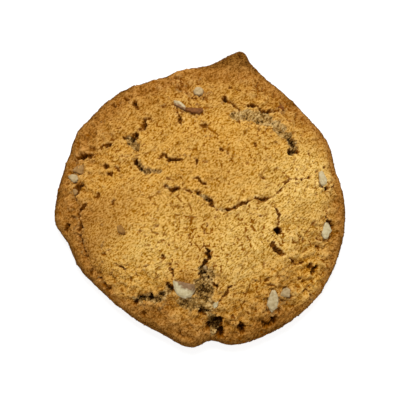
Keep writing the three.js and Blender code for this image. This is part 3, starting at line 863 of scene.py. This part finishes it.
pores = node("ShaderNodeTexNoise", {
    "Vector": pulled, "Scale": per_mm(PORE_SIZE), "Detail": 3.0, "Roughness": PORE_RAGGED})
crowd = node("ShaderNodeMath", {0: mottle, 1: -PORE_CROWDS, 2: PORE_CROWDS / 2}, operation="MULTIPLY_ADD")
for field in (amounts["toasted"], stored["smooth"]):
    crowd = node("ShaderNodeMath", {0: field, 1: PORES_FEWER, 2: crowd}, operation="MULTIPLY_ADD")
pores = node("ShaderNodeMath", {0: pores, 1: crowd}, operation="ADD")
torn = node("ShaderNodeMath", {0: speckle, 1: TORN_SPECKLE, 2: stored["torn"]}, operation="MULTIPLY_ADD")
torn = node("ShaderNodeMath", {0: sand, 1: TORN_SAND, 2: torn}, operation="MULTIPLY_ADD")
# A crack's edge crumbles in single grains, finer than the mesh, so the sand breaks it up.
broken = node("ShaderNodeMath", {0: sand, 1: CRACK_RAGGED, 2: 1 - CRACK_RAGGED / 2}, operation="MULTIPLY_ADD")
crack = node("ShaderNodeMath", {0: stored["crack"], 1: broken}, operation="MULTIPLY")
levels = {"pores": pores, "pale": speckle, "torn": torn, "dark": crack, "deep": crack}
for mark, (begin, full, cover) in MARKS.items():
    amounts[mark] = node("ShaderNodeMapRange", {
        "Value": levels[mark], "From Min": begin, "From Max": full, "To Max": cover})
# The pale colour shows only on lips: pale dough and painted highlight.
amounts["pale"] = node("ShaderNodeMath", {0: amounts["pale"], 1: stored["lip"]}, operation="MULTIPLY")
print("marks in the crust:", ", ".join(MARKS))


# %% Colour and bump of the crust
HAIR_EDGE = (0.8, 1.8)
HAIRLINE_SHADE_COVER = 0.95
CRUST_BUMP = 0.6
CRUST_BUMP_HEIGHT = 0.25

# Hairlines take painted shade, less of it where the crust is smooth.
dry = node("ShaderNodeMath", {0: stored["smooth"], 1: -HAIRLINE_SHADE_COVER, 2: HAIRLINE_SHADE_COVER}, operation="MULTIPLY_ADD")
hair = hairlines(crust_finish.node_tree, place, *HAIR_EDGE)
amounts["hair"] = node("ShaderNodeMath", {0: hair, 1: dry}, operation="MULTIPLY")
colour = node("ShaderNodeValToRGB", {"Fac": tone}, stops=GOLDEN)
# Painted light in these layers: shade along the rim's edge in the burnt one, shade in hairlines, cracks and
# pits, shade in deep torn crumb, and a highlight on crack lips in the pale one.
# What each layer is called, what its ramp follows, and its colours: a single colour follows nothing.
layers = (
    ("yellow", tone, YELLOW), ("toasted", tone, TOASTED), ("burnt", tone, BURNT_AND_EDGE_SHADE), ("pores", None, PORE_DARK),
    ("hair", None, HAIRLINE_SHADE), ("pale", None, PALE_DOUGH_AND_HIGHLIGHT), ("dark", crack, CRACK_SHADE),
    ("torn", crumb_tone, CRUMB), ("deep", None, DEEP_SHADE),
)
for name, level, stops in layers:
    over = linear(stops) if level is None else node("ShaderNodeValToRGB", {"Fac": level}, stops=stops)
    colour = node("ShaderNodeMix", {0: amounts[name], 6: colour, 7: over}, data_type="RGBA")
height = node("ShaderNodeMath", {0: sand, 1: speckle}, operation="ADD")
bump = node("ShaderNodeBump", {"Height": height, "Strength": CRUST_BUMP, "Distance": CRUST_BUMP_HEIGHT * MM})
connect(crust_shader, {"Base Color": colour, "Normal": bump})
print("crust finish has", len(crust_finish.node_tree.nodes), "nodes")


# %% [markdown]
# Carving the crust with Geometry Nodes
# Sculpting by hand could not be repeated, and a displacement shader is lost when the model is exported, so
# the relief is a node tree. Its inputs are the clouds of cracks, a height or a reach for each kind of
# relief, and the finish. From each point of the crust it looks up the nearest crack, trough, pit and dent,
# from a place that noise has nudged sideways, so that a few way-points give ragged edges.

# %% Start the crust relief tree
# Each in millimetres.
RELIEF = {
    "Wander": 1.5, "Raggedness": 1.2, "Lump Height": 1.2, "Crag Height": 0.25, "Grain Height": 0.5,
    "Crumb Height": 1.4, "Hairline Depth": 0.25, "Lip Height": 0.12,
}


def new_tree(name, inputs):
    """An empty geometry tree, its inputs named and typed by a dictionary, and the inputs' identifiers."""
    tree = bpy.data.node_groups.new(name, "GeometryNodeTree")
    identifiers = {}
    for label, kind in {"Geometry": "Geometry", **inputs}.items():
        socket = tree.interface.new_socket(label, in_out="INPUT", socket_type="NodeSocket" + kind)
        identifiers[label] = socket.identifier
    tree.interface.new_socket("Geometry", in_out="OUTPUT", socket_type="NodeSocketGeometry")
    return tree, identifiers


relief, relief_inputs = new_tree("crust relief", {
    **dict.fromkeys(nets, "Object"), **dict.fromkeys(RELIEF, "Float"), "Finish": "Material"})
node = partial(add_node, relief)
given = node("NodeGroupInput").outputs
place = node("GeometryNodeInputPosition")
crust, rim, uneven = (node("GeometryNodeInputNamedAttribute", {"Name": name}, data_type="FLOAT")
                      for name in ("crust", "rim", "uneven"))
print("the relief's inputs:", ", ".join(relief_inputs))


# %% Cuts of the nearest crack, trough, pit and dent
WANDER_SPACING = 3.0
RAGGED_SPACING = 0.9
# Where a cut's side leaves its floor and where it meets the crust, and the reach of a lip, in half widths.
SIDES = {"Cracks": (0.25, 1.15), "Troughs": (0.5, 1.7), "Pits": (0.3, 1.1), "Dents": (0.0, 1.0)}
LIP_REACH = (1.0, 2.6)

nudged = place
for size, label in ((WANDER_SPACING, "Wander"), (RAGGED_SPACING, "Raggedness")):
    drift = node("ShaderNodeTexNoise", {"Vector": place, "Scale": per_mm(size), "Detail": 1.0})
    drift = node("ShaderNodeVectorMath", {0: drift.outputs["Color"], 1: (0.5,) * 3}, operation="SUBTRACT")
    nudged = node("ShaderNodeVectorMath", {0: drift, 1: given[label], 2: nudged}, operation="MULTIPLY_ADD")
flat = node("ShaderNodeVectorMath", {0: nudged, 1: (1, 1, 0)}, operation="MULTIPLY")

inside, lips, cuts = {}, {}, {}
for net, side in SIDES.items():
    cloud = node("GeometryNodeObjectInfo", {"Object": given[net]}).outputs["Geometry"]
    nearest = node("GeometryNodeSampleNearest", {"Geometry": cloud, "Sample Position": flat})
    read = {}
    for label, kind in (("position", "FLOAT_VECTOR"), ("half_width", "FLOAT"), ("depth", "FLOAT")):
        field = node("GeometryNodeInputNamedAttribute", {"Name": label}, data_type=kind)
        read[label] = node("GeometryNodeSampleIndex", {
            "Geometry": cloud, "Value": field, "Index": nearest}, data_type=kind)
    away = node("ShaderNodeVectorMath", {0: flat, 1: read["position"]}, operation="DISTANCE")
    ratio = node("ShaderNodeMath", {0: away, 1: read["half_width"]}, operation="DIVIDE")
    inside[net], lips[net] = (node("ShaderNodeMapRange", {
        "Value": ratio, "From Min": near, "From Max": far, "To Min": 1.0, "To Max": 0.0},
        interpolation_type="SMOOTHSTEP") for near, far in (side, LIP_REACH))
    cuts[net] = node("ShaderNodeMath", {0: inside[net], 1: read["depth"]}, operation="MULTIPLY")
print("cuts of", ", ".join(cuts))


# %% [markdown]
# Grain, crumb and lumps
# The crust is sandy, torn crumb is coarser and more open, and slow lumps lie under both, strongest in the
# band inside the rim. One noise could not be all of them. Rounded cells with a ripple give the little clods,
# once in the size of grain and once of crumb, and three sizes of noise add up to the lumps. The rim's own
# grain is finer, but it has crags.

# %% Grain, crumb and lumps
CLOD_SIZES = {"grain": 0.8, "crumb": 1.25}
CLOD_ROUND = 0.55
CLOD_MIDDLE = 0.3
RIPPLE_SIZE = 1.6
RIM_FINER = 0.85
# Size and share of each layer of lumps.
LUMPS = ((9.0, 0.8), (3.6, 1.2), (1.9, 1.3))
CRAG_SIZE = 2.6

clods = {}
inner = node("ShaderNodeMath", {0: rim, 1: -RIM_FINER, 2: 1.0}, operation="MULTIPLY_ADD")
for label, where in (("grain", inner), ("crumb", inside["Troughs"])):
    size = CLOD_SIZES[label]
    cells = node("ShaderNodeTexVoronoi", {"Vector": nudged, "Scale": per_mm(size)}, feature="SMOOTH_F1")
    ripple = node("ShaderNodeTexNoise", {"Vector": place, "Scale": per_mm(RIPPLE_SIZE * size), "Detail": 3.0})
    clod = node("ShaderNodeMath", {0: cells, 1: -CLOD_ROUND, 2: ripple}, operation="MULTIPLY_ADD")
    clod = node("ShaderNodeMath", {0: clod, 1: CLOD_MIDDLE}, operation="SUBTRACT")
    clods[label] = node("ShaderNodeMath", {0: clod, 1: where}, operation="MULTIPLY")

swell = 0.0
for size, weight in LUMPS:
    lump = node("ShaderNodeTexNoise", {"Vector": place, "Scale": per_mm(size), "Detail": 1.5})
    lump = node("ShaderNodeMath", {0: lump, 1: 0.5}, operation="SUBTRACT")
    swell = node("ShaderNodeMath", {0: lump, 1: weight, 2: swell}, operation="MULTIPLY_ADD")
swell = node("ShaderNodeMath", {0: swell, 1: uneven}, operation="MULTIPLY")
crag = node("ShaderNodeTexNoise", {"Vector": place, "Scale": per_mm(CRAG_SIZE), "Detail": 1.0})
crag = node("ShaderNodeMath", {0: crag, 1: 0.5}, operation="SUBTRACT")
crag = node("ShaderNodeMath", {0: crag, 1: rim}, operation="MULTIPLY")
print("relief so far has", len(relief.nodes), "nodes")


# %% [markdown]
# The rise and fall of the crust
# Lumps, crags, grain and lips add up, hairlines and cuts take away. A crack in a pit is no deeper than the
# deeper of the two, so cuts are joined by their maximum, and only the wide dents add to them. The sum moves a
# point along the surface's own direction rather than straight down, so the split at the front also bites into
# the rim's wall.

# %% Rise and fall of the crust
HAIR_SIDE = (0.3, 1.5)

hair = hairlines(relief, place, *HAIR_SIDE)
down = node("ShaderNodeMath", {0: given["Hairline Depth"], 1: -1.0}, operation="MULTIPLY")
lip = node("ShaderNodeMath", {0: lips["Cracks"], 1: lips["Troughs"]}, operation="MAXIMUM")
rise = node("ShaderNodeMath", {0: swell, 1: given["Lump Height"]}, operation="MULTIPLY")
for field, reach in ((crag, given["Crag Height"]), (clods["grain"], given["Grain Height"]),
                     (clods["crumb"], given["Crumb Height"]), (hair, down), (lip, given["Lip Height"])):
    rise = node("ShaderNodeMath", {0: field, 1: reach, 2: rise}, operation="MULTIPLY_ADD")
sharp = node("ShaderNodeMath", {0: cuts["Cracks"], 1: cuts["Pits"]}, operation="MAXIMUM")
gash = node("ShaderNodeMath", {0: sharp, 1: cuts["Troughs"]}, operation="MAXIMUM")
cut = node("ShaderNodeMath", {0: gash, 1: cuts["Dents"]}, operation="ADD")
rise = node("ShaderNodeMath", {0: rise, 1: cut}, operation="SUBTRACT")
rise = node("ShaderNodeMath", {0: rise, 1: crust}, operation="MULTIPLY")
normal = node("GeometryNodeInputNormal")
offset = node("ShaderNodeVectorMath", {0: normal, "Scale": rise}, operation="SCALE")
print("relief now has", len(relief.nodes), "nodes")


# %% What the relief stores for the finish
FULL_CRACK = 2.2
FULL_SINK = 1.0
# How low between two crumbs a pore starts and is full, and how much painted shade it then takes.
CRUMB_PORES = (-0.12, -0.2, 0.8)
PORE_SINK = 0.8

begin, full, cover = CRUMB_PORES
pores = node("ShaderNodeMapRange", {
    "Value": clods["crumb"], "From Min": begin, "From Max": full, "To Max": cover})
# How sunk a point is, in torn places and between crumbs: the finish paints shade by it.
sunk = node("ShaderNodeMath", {0: gash, 1: FULL_SINK * MM}, operation="DIVIDE")
sunk = node("ShaderNodeMath", {0: pores, 1: PORE_SINK, 2: sunk}, operation="MULTIPLY_ADD")
# How deep the sharp cut is, as a share of FULL_CRACK: the finish paints shade in cracks and pits by it.
crack = node("ShaderNodeMath", {0: sharp, 1: FULL_CRACK * MM}, operation="DIVIDE")
crack = node("ShaderNodeMath", {0: crack, 1: crust}, operation="MULTIPLY")
torn = node("ShaderNodeMath", {0: inside["Troughs"], 1: crust}, operation="MULTIPLY")
sandy = node("ShaderNodeMath", {0: 1.0, 1: torn}, operation="SUBTRACT")
sandy = node("ShaderNodeMath", {0: sandy, 1: crust}, operation="MULTIPLY")
shape = node("GeometryNodeStoreNamedAttribute", {
    "Geometry": given["Geometry"], "Name": "dough_place", "Value": place}, data_type="FLOAT_VECTOR")
# Swell, grain and lip also go to the finish, for its painted light and shade.
for name, value in dict(crack=crack, torn=torn, sunk=sunk, sandy=sandy, swell=swell, grain=clods["grain"],
                        lip=lip).items():
    shape = node("GeometryNodeStoreNamedAttribute", {
        "Geometry": shape, "Name": name, "Value": value}, data_type="FLOAT")
shape = node("GeometryNodeSetPosition", {"Geometry": shape, "Offset": offset})
shape = node("GeometryNodeRealizeInstances", {"Geometry": shape})
shape = node("GeometryNodeSetMaterial", {"Geometry": shape, "Material": given["Finish"]})
node("NodeGroupOutput", {"Geometry": shape})
print("crust relief has", len(relief.nodes), "nodes")


# %% [markdown]
# Carving the dough
# A modifier would keep the relief live, but the export needs plain mesh. So the tree runs once on a helper
# object, the result is copied out as the cookie's own mesh, and the helper and the clouds are removed.

# %% Carve the dough
def baked_by_nodes(name, mesh, tree, identifiers, settings):
    """Runs a tree on a mesh and keeps the result as a plain mesh object."""
    source = add_object(name + "_source", mesh)
    modifier = source.modifiers.new("nodes", "NODES")
    modifier.node_group = tree
    for label, value in settings.items():
        modifier[identifiers[label]] = value
    evaluated = source.evaluated_get(bpy.context.evaluated_depsgraph_get())
    made = bpy.data.meshes.new_from_object(evaluated)
    source.modifiers.remove(modifier)
    bpy.data.objects.remove(source)
    made.name = name
    return add_object(name, made)


relief_sizes = {label: size * MM for label, size in RELIEF.items()}
dough = baked_by_nodes("cookie_dough", dough_mesh, relief, relief_inputs, {
    **nets, **relief_sizes, "Finish": crust_finish})
for net in nets.values():
    bpy.data.objects.remove(net)
dough.data.shade_smooth()
heights = np.array([v.co.z for v in dough.data.vertices]) / MM
print("carved dough stands", heights.min().round(2), "to", heights.max().round(2), "mm")

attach(dough, "root")
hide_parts("cookie")


# %% [markdown]
# The pecans' shapes
# A chopped nut is a chunk with flat cut faces and softened edges. Cubes would look stacked, so each is the
# hull of four rings, the outline narrowing upwards and sunk below the crust. A voxel remesh and a little
# smoothing then melt the edges, as the oven does, and noise roughens the cut. Skin, and how low each point
# lies, for the painted shade where the nut meets the dough, are stored on the points.

# %% Hull of a nut
# Each ring's share of the outline and of the rise.
PECAN_LEVELS = ((0.85, -2.0), (1.0, -0.4), (1.0, 0.4), (0.78, 1.0))


def pecan_hull(rise, lean, outline):
    """The hull of the outline's rings, with its cut face leaning by the two slopes of lean."""
    middle = np.mean(outline, axis=0)
    form = bmesh.new()
    for spread, level in PECAN_LEVELS:
        ring = middle + (np.array(outline) - middle) * spread
        lift = dome_height(*ring.T) + rise * level + max(level, 0) * (ring - middle) @ lean
        for (px, py), pz in zip(ring, lift):
            form.verts.new(Vector((px, py, pz)) * MM)
    bmesh.ops.convex_hull(form, input=form.verts)
    bmesh.ops.delete(form, geom=[v for v in form.verts if not v.link_faces], context="VERTS")
    hull = bpy.data.meshes.new("pecan_hull")
    form.to_mesh(hull)
    form.free()
    return hull


print("a nut is the hull of", len(PECAN_LEVELS), "rings")


# %% Melt the hulls and join the nuts
PECAN_VOXEL = 0.13
PECAN_SMOOTHING = 2
PECAN_ROUGH = 0.1
PECAN_ROUGH_SIZE = 0.6
SKIN_EDGE = 0.6


def melted(mesh):
    """A mesh remade with even little faces and rounded edges."""
    source = add_object("pecan_source", mesh)
    remesh = source.modifiers.new("even faces", "REMESH")
    remesh.mode = "VOXEL"
    remesh.voxel_size = PECAN_VOXEL * MM
    source.modifiers.new("round edges", "SMOOTH").iterations = PECAN_SMOOTHING
    made = bpy.data.meshes.new_from_object(source.evaluated_get(bpy.context.evaluated_depsgraph_get()))
    bpy.data.objects.remove(source)
    return made


pecan_points, pecan_faces, skin, toasted, roasted = [], [], [], [], []
for rise, lean, roast, (skin_turn, skin_start, skin_radius), outline in PECANS.values():
    chunk = melted(pecan_hull(rise, np.array(lean), outline))
    skin_reach = skin_start + skin_radius
    skin_middle = np.mean(outline, axis=0) + skin_reach * heading(math.radians(skin_turn))
    first = len(pecan_points)
    for vertex in chunk.vertices:
        rough = noise.noise(vertex.co / (PECAN_ROUGH_SIZE * MM))
        point = np.array(vertex.co + vertex.normal * rough * PECAN_ROUGH * MM) / MM
        pecan_points.append(point * MM)
        skin.append((skin_radius - np.hypot(*(point[:2] - skin_middle)) + SKIN_EDGE * rough) / SKIN_EDGE)
        # How low the point lies on its nut: the finish paints shade there, where the nut meets the dough.
        toasted.append(1 - (point[2] - dome_height(point[0], point[1])) / rise)
        roasted.append(roast)
    pecan_faces += [[first + i for i in face.vertices] for face in chunk.polygons]

pecan_mesh = bpy.data.meshes.new("chopped_pecans")
pecan_mesh.from_pydata(pecan_points, [], pecan_faces)
for name, values in (("skin", skin), ("toasted", toasted), ("roasted", roasted)):
    set_attribute(pecan_mesh, name, np.clip(values, 0, 1))
pecan_mesh.shade_smooth()
pecans = add_object("chopped_pecans", pecan_mesh)
print("pecans:", len(pecan_points), "points,", len(pecan_faces), "faces")


# %% [markdown]
# The pecans' finish
# Nutmeat is dense and faintly oily, so it is smoother than crust: pale grey cream where it was cut, with soft
# darker flecks, and painted shade low down where it meets the dough. Its skin is a thin purplish brown film
# with fine wrinkles. One material carries both, mixed by what the points remember, because one nut has both.

# %% Chopped pecan material
FLESH = ("#DCCEA8", "#C8B78C", "#A08A60")
ROASTED_FLESH = ("#AE8244", "#966A32", "#765020")
SKIN = ("#8C5018", "#6C380C", "#462204")
# Painted shade for the nut's foot, where it meets the dough.
FOOT_SHADE = "#7A5426"
FLECK_SIZE = 0.9
FLECK_RANGE = (0.2, 0.85)
FOOT_SHADE_FROM = 0.55
FOOT_SHADE_COVER = 0.85
PALE_SKIN = 0.75
PECAN_BUMP = 0.4
PECAN_BUMP_HEIGHT = 0.2

# Cut nutmeat is dense and holds a little oil, so it shows a soft dull sheen that the crust has nowhere.
pecan_finish, node, pecan_shader = new_material("chopped_roasted_pecan", {
    "Roughness": 0.55, "IOR": 1.46, "Specular IOR Level": 0.08})
place = node("ShaderNodeTexCoord").outputs["Object"]
skinned, lowness, roast = (node("ShaderNodeAttribute", attribute_name=name).outputs["Fac"]
                         for name in ("skin", "toasted", "roasted"))
fleck = node("ShaderNodeTexNoise", {"Vector": place, "Scale": per_mm(FLECK_SIZE), "Detail": 3.0})
tone = node("ShaderNodeMapRange", {"Value": fleck, "From Min": FLECK_RANGE[0], "From Max": FLECK_RANGE[1]})
# Painted shade low down on the nut, where it meets the dough.
foot_shade = node("ShaderNodeMapRange", {"Value": lowness, "From Min": FOOT_SHADE_FROM, "To Max": FOOT_SHADE_COVER})
film = node("ShaderNodeMapRange", {"Value": roast, "To Min": PALE_SKIN})
film = node("ShaderNodeMath", {0: skinned, 1: film}, operation="MULTIPLY")
roasted_flesh = node("ShaderNodeValToRGB", {"Fac": tone}, stops=ROASTED_FLESH)
skin_film = node("ShaderNodeValToRGB", {"Fac": tone}, stops=SKIN)
colour = node("ShaderNodeValToRGB", {"Fac": tone}, stops=FLESH)
for amount, over in ((roast, roasted_flesh), (foot_shade, linear(FOOT_SHADE)), (film, skin_film)):
    colour = node("ShaderNodeMix", {0: amount, 6: colour, 7: over}, data_type="RGBA")
bump = node("ShaderNodeBump", {"Height": fleck, "Strength": PECAN_BUMP, "Distance": PECAN_BUMP_HEIGHT * MM})
connect(pecan_shader, {"Base Color": colour, "Normal": bump})
pecan_mesh.materials.append(pecan_finish)
print("pecan finish has", len(pecan_finish.node_tree.nodes), "nodes")

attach(pecans, "root")


# %% [markdown]
# Grains and crumbs
# Sugar and flour grains stand up from the dry crust, and loose crumbs lie in the torn places. Thousands of
# them can't be placed by hand, and particles are lost when the model is exported, so a node tree scatters
# one chip over the crust, turned, squashed and sized at random from a fixed seed, and realizes the copies as
# mesh. Each chip keeps the crust's attributes from where it lies, so the crust's own finish colours it.

# %% Start the scatter tree
# Most chips are near the smallest size, the more so the higher this power.
SIZE_POWER = 2.5
SQUASH = (0.6, 1.4)

scatter, scatter_inputs = new_tree("crumb scatter", {
    "Where": "String", "Density": "Float", "Smallest": "Float", "Largest": "Float", "Sunk": "Float",
    "Columns": "Float", "Seed": "Int", "Finish": "Material"})
node = partial(add_node, scatter)
given = node("NodeGroupInput").outputs
where = node("GeometryNodeInputNamedAttribute", {"Name": given["Where"]}, data_type="FLOAT")
density = node("ShaderNodeMath", {0: where, 1: given["Density"]}, operation="MULTIPLY")
scattered = node("GeometryNodeDistributePointsOnFaces", {
    "Mesh": given["Geometry"], "Density": density, "Seed": given["Seed"]}, distribute_method="RANDOM")

size = node("FunctionNodeRandomValue", {2: 0.0, 3: 1.0, "Seed": 1}, data_type="FLOAT")
size = node("ShaderNodeMath", {0: size, 1: SIZE_POWER}, operation="POWER")
size = node("ShaderNodeMapRange", {"Value": size, "To Min": given["Smallest"], "To Max": given["Largest"]})
squash, turn = (
    node("FunctionNodeRandomValue", {0: (low,) * 3, 1: (high,) * 3, "Seed": seed}, data_type="FLOAT_VECTOR")
    for low, high, seed in ((*SQUASH, 2), (0, math.tau, 3)))
scale = node("ShaderNodeVectorMath", {0: squash, "Scale": size}, operation="SCALE")
print("crumb scatter's inputs:", ", ".join(scatter_inputs))


# %% Where the chips lie
CHIP_LIFT = 0.6

sink = node("ShaderNodeMath", {0: size, 1: given["Sunk"]}, operation="MULTIPLY")
sink = node("ShaderNodeMath", {0: sink, 1: -1.0}, operation="MULTIPLY")
sink = node("ShaderNodeVectorMath", {0: scattered.outputs["Normal"], "Scale": sink}, operation="SCALE")
# A crumb at the bottom of a pit stands above it, so it takes less of the pit's painted shade than the pit's own
# floor.
depth = node("GeometryNodeInputNamedAttribute", {"Name": "sunk"}, data_type="FLOAT")
depth = node("ShaderNodeMath", {0: depth, 1: CHIP_LIFT}, operation="MULTIPLY")
number = node("GeometryNodeInputIndex")
points = scattered
for name, value in (("chip", number), ("sunk", depth)):
    points = node("GeometryNodeStoreNamedAttribute", {
        "Geometry": points, "Name": name, "Value": value}, data_type="FLOAT")
points = node("GeometryNodeSetPosition", {"Geometry": points, "Offset": sink})
print("a chip keeps", CHIP_LIFT, "of its place's depth")


# %% [markdown]
# The chip and its place on the texture map
# A chip is a ball of twenty faces, pushed out of round by noise. Each copy needs its own little square on the
# texture map, because each has its own colours, so the squares stand in rows: the chip's number gives its row
# and its column, and its own flat layout fills most of that square.

# %% Chips and their map
CHIP_ROUGH = 0.8
SQUARE_FILL = 0.8

ball = node("GeometryNodeMeshIcoSphere", {"Radius": 1.0, "Subdivisions": 1})
rough = node("ShaderNodeTexNoise", {"Scale": 1.0, "Detail": 0.0}).outputs["Color"]
rough = node("ShaderNodeVectorMath", {0: rough, 1: (0.5,) * 3}, operation="SUBTRACT")
rough = node("ShaderNodeVectorMath", {0: rough, "Scale": CHIP_ROUGH}, operation="SCALE")
chip = node("GeometryNodeSetPosition", {"Geometry": ball, "Offset": rough})
chip = node("GeometryNodeStoreNamedAttribute", {
    "Geometry": chip, "Name": "OFBake", "Value": ball.outputs["UV Map"]}, data_type="FLOAT2", domain="CORNER")
chips = node("GeometryNodeInstanceOnPoints", {
    "Points": points, "Instance": chip, "Rotation": turn, "Scale": scale})
chips = node("GeometryNodeRealizeInstances", {"Geometry": chips})

number = node("GeometryNodeInputNamedAttribute", {"Name": "chip"}, data_type="FLOAT")
row = node("ShaderNodeMath", {0: number, 1: given["Columns"]}, operation="DIVIDE")
row = node("ShaderNodeMath", {0: row}, operation="FLOOR")
column = node("ShaderNodeMath", {0: number, 1: given["Columns"]}, operation="MODULO")
square = node("ShaderNodeCombineXYZ", {"X": column, "Y": row})
own = node("GeometryNodeInputNamedAttribute", {"Name": "OFBake"}, data_type="FLOAT_VECTOR")
own = node("ShaderNodeVectorMath", {0: own, "Scale": SQUARE_FILL}, operation="SCALE")
own = node("ShaderNodeVectorMath", {0: own, 1: square}, operation="ADD")
own = node("ShaderNodeVectorMath", {0: own, 1: given["Columns"]}, operation="DIVIDE")
chips = node("GeometryNodeStoreNamedAttribute", {
    "Geometry": chips, "Name": "OFBake", "Value": own}, data_type="FLOAT2", domain="CORNER")
chips = node("GeometryNodeSetMaterial", {"Geometry": chips, "Material": given["Finish"]})
node("NodeGroupOutput", {"Geometry": chips})
print("crumb scatter has", len(scatter.nodes), "nodes")


# %% [markdown]
# Two kinds of chips
# Grains of sugar and flour are small, half sunk and everywhere on the whole crust. Crumbs are larger and lie
# loose in the torn places. The same tree makes both, so that only a row of values tells them apart.

# %% Scatter grains and crumbs
# Each kind: where it lies, how many to a square metre, smallest and largest radius, how far it sinks, and the
# columns of its texture map.
SCATTERED = {
    "crust_grains": ("sandy", 1.1e6, 0.10, 0.34, 0.45, 100.0),
    "loose_crumbs": ("torn", 2.2e6, 0.14, 0.50, 0.20, 40.0),
}
for number, (name, (field, density, smallest, largest, sunk, columns)) in enumerate(SCATTERED.items()):
    chips = baked_by_nodes(name, dough.data, scatter, scatter_inputs, {
        "Where": field, "Density": density, "Smallest": smallest * MM, "Largest": largest * MM, "Sunk": sunk,
        "Columns": columns, "Seed": SEED + number, "Finish": crust_finish,
    })
    print(name, "has", len(chips.data.polygons), "triangles")
    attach(chips, "root")


# %% [markdown]
# The stage
# Food is often shown on a light table, a sheet of acrylic lit from below: it stays white, and only the
# closest shadow shows on it. One hard lamp would blacken the cracks, and a plain white sky would flatten the
# crust, so a broad lamp behind, as the shading beside the nuts shows, joins an even white surround.

# %% Floor
FLOOR_HALF = 3.0
FLOOR_CORNERS = ((-1, -1), (1, -1), (1, 1), (-1, 1))

floor_mesh = bpy.data.meshes.new("floor")
floor_mesh.from_pydata([(x * FLOOR_HALF, y * FLOOR_HALF, 0) for x, y in FLOOR_CORNERS], [], [(0, 1, 2, 3)])
floor = add_object("floor", floor_mesh)
# Acrylic lit from below glows evenly, so the floor is white to the eye without a bright lamp on it.
floor_finish, *_ = new_material("backlit_acrylic_sheet", {
    "Base Color": linear("#8C8C8A"), "Roughness": 0.9,
    "Emission Color": linear("#FFFFFF"), "Emission Strength": 0.85})
floor_mesh.materials.append(floor_finish)
print("the floor is", 2 * FLOOR_HALF, "m wide")


# %% Light and view
LAMP_AZIMUTH = math.radians(92)
LAMP_ELEVATION = math.radians(62)
LAMP_DISTANCE = 0.7
LAMP_SIZE = 0.3
LAMP_POWER = 3.6
SURROUND = 0.5

lamp_data = bpy.data.lights.new("window", "AREA")
lamp_data.shape = "DISK"
lamp_data.size = LAMP_SIZE
lamp_data.energy = LAMP_POWER
lamp = add_object("window", lamp_data)
towards_lamp = Vector((*heading(LAMP_AZIMUTH) * math.cos(LAMP_ELEVATION), math.sin(LAMP_ELEVATION)))
lamp.location = towards_lamp * LAMP_DISTANCE
lamp.rotation_euler = (-towards_lamp).to_track_quat("-Z", "Y").to_euler()

world = bpy.data.worlds.new("white_surround")
world.use_nodes = True
connect(world.node_tree.nodes["Background"], {"Color": linear("#FFFFFF"), "Strength": SURROUND})
bpy.context.scene.world = world
bpy.context.scene.view_settings.view_transform = "Standard"
print("lamp at", [round(v, 2) for v in lamp.location])
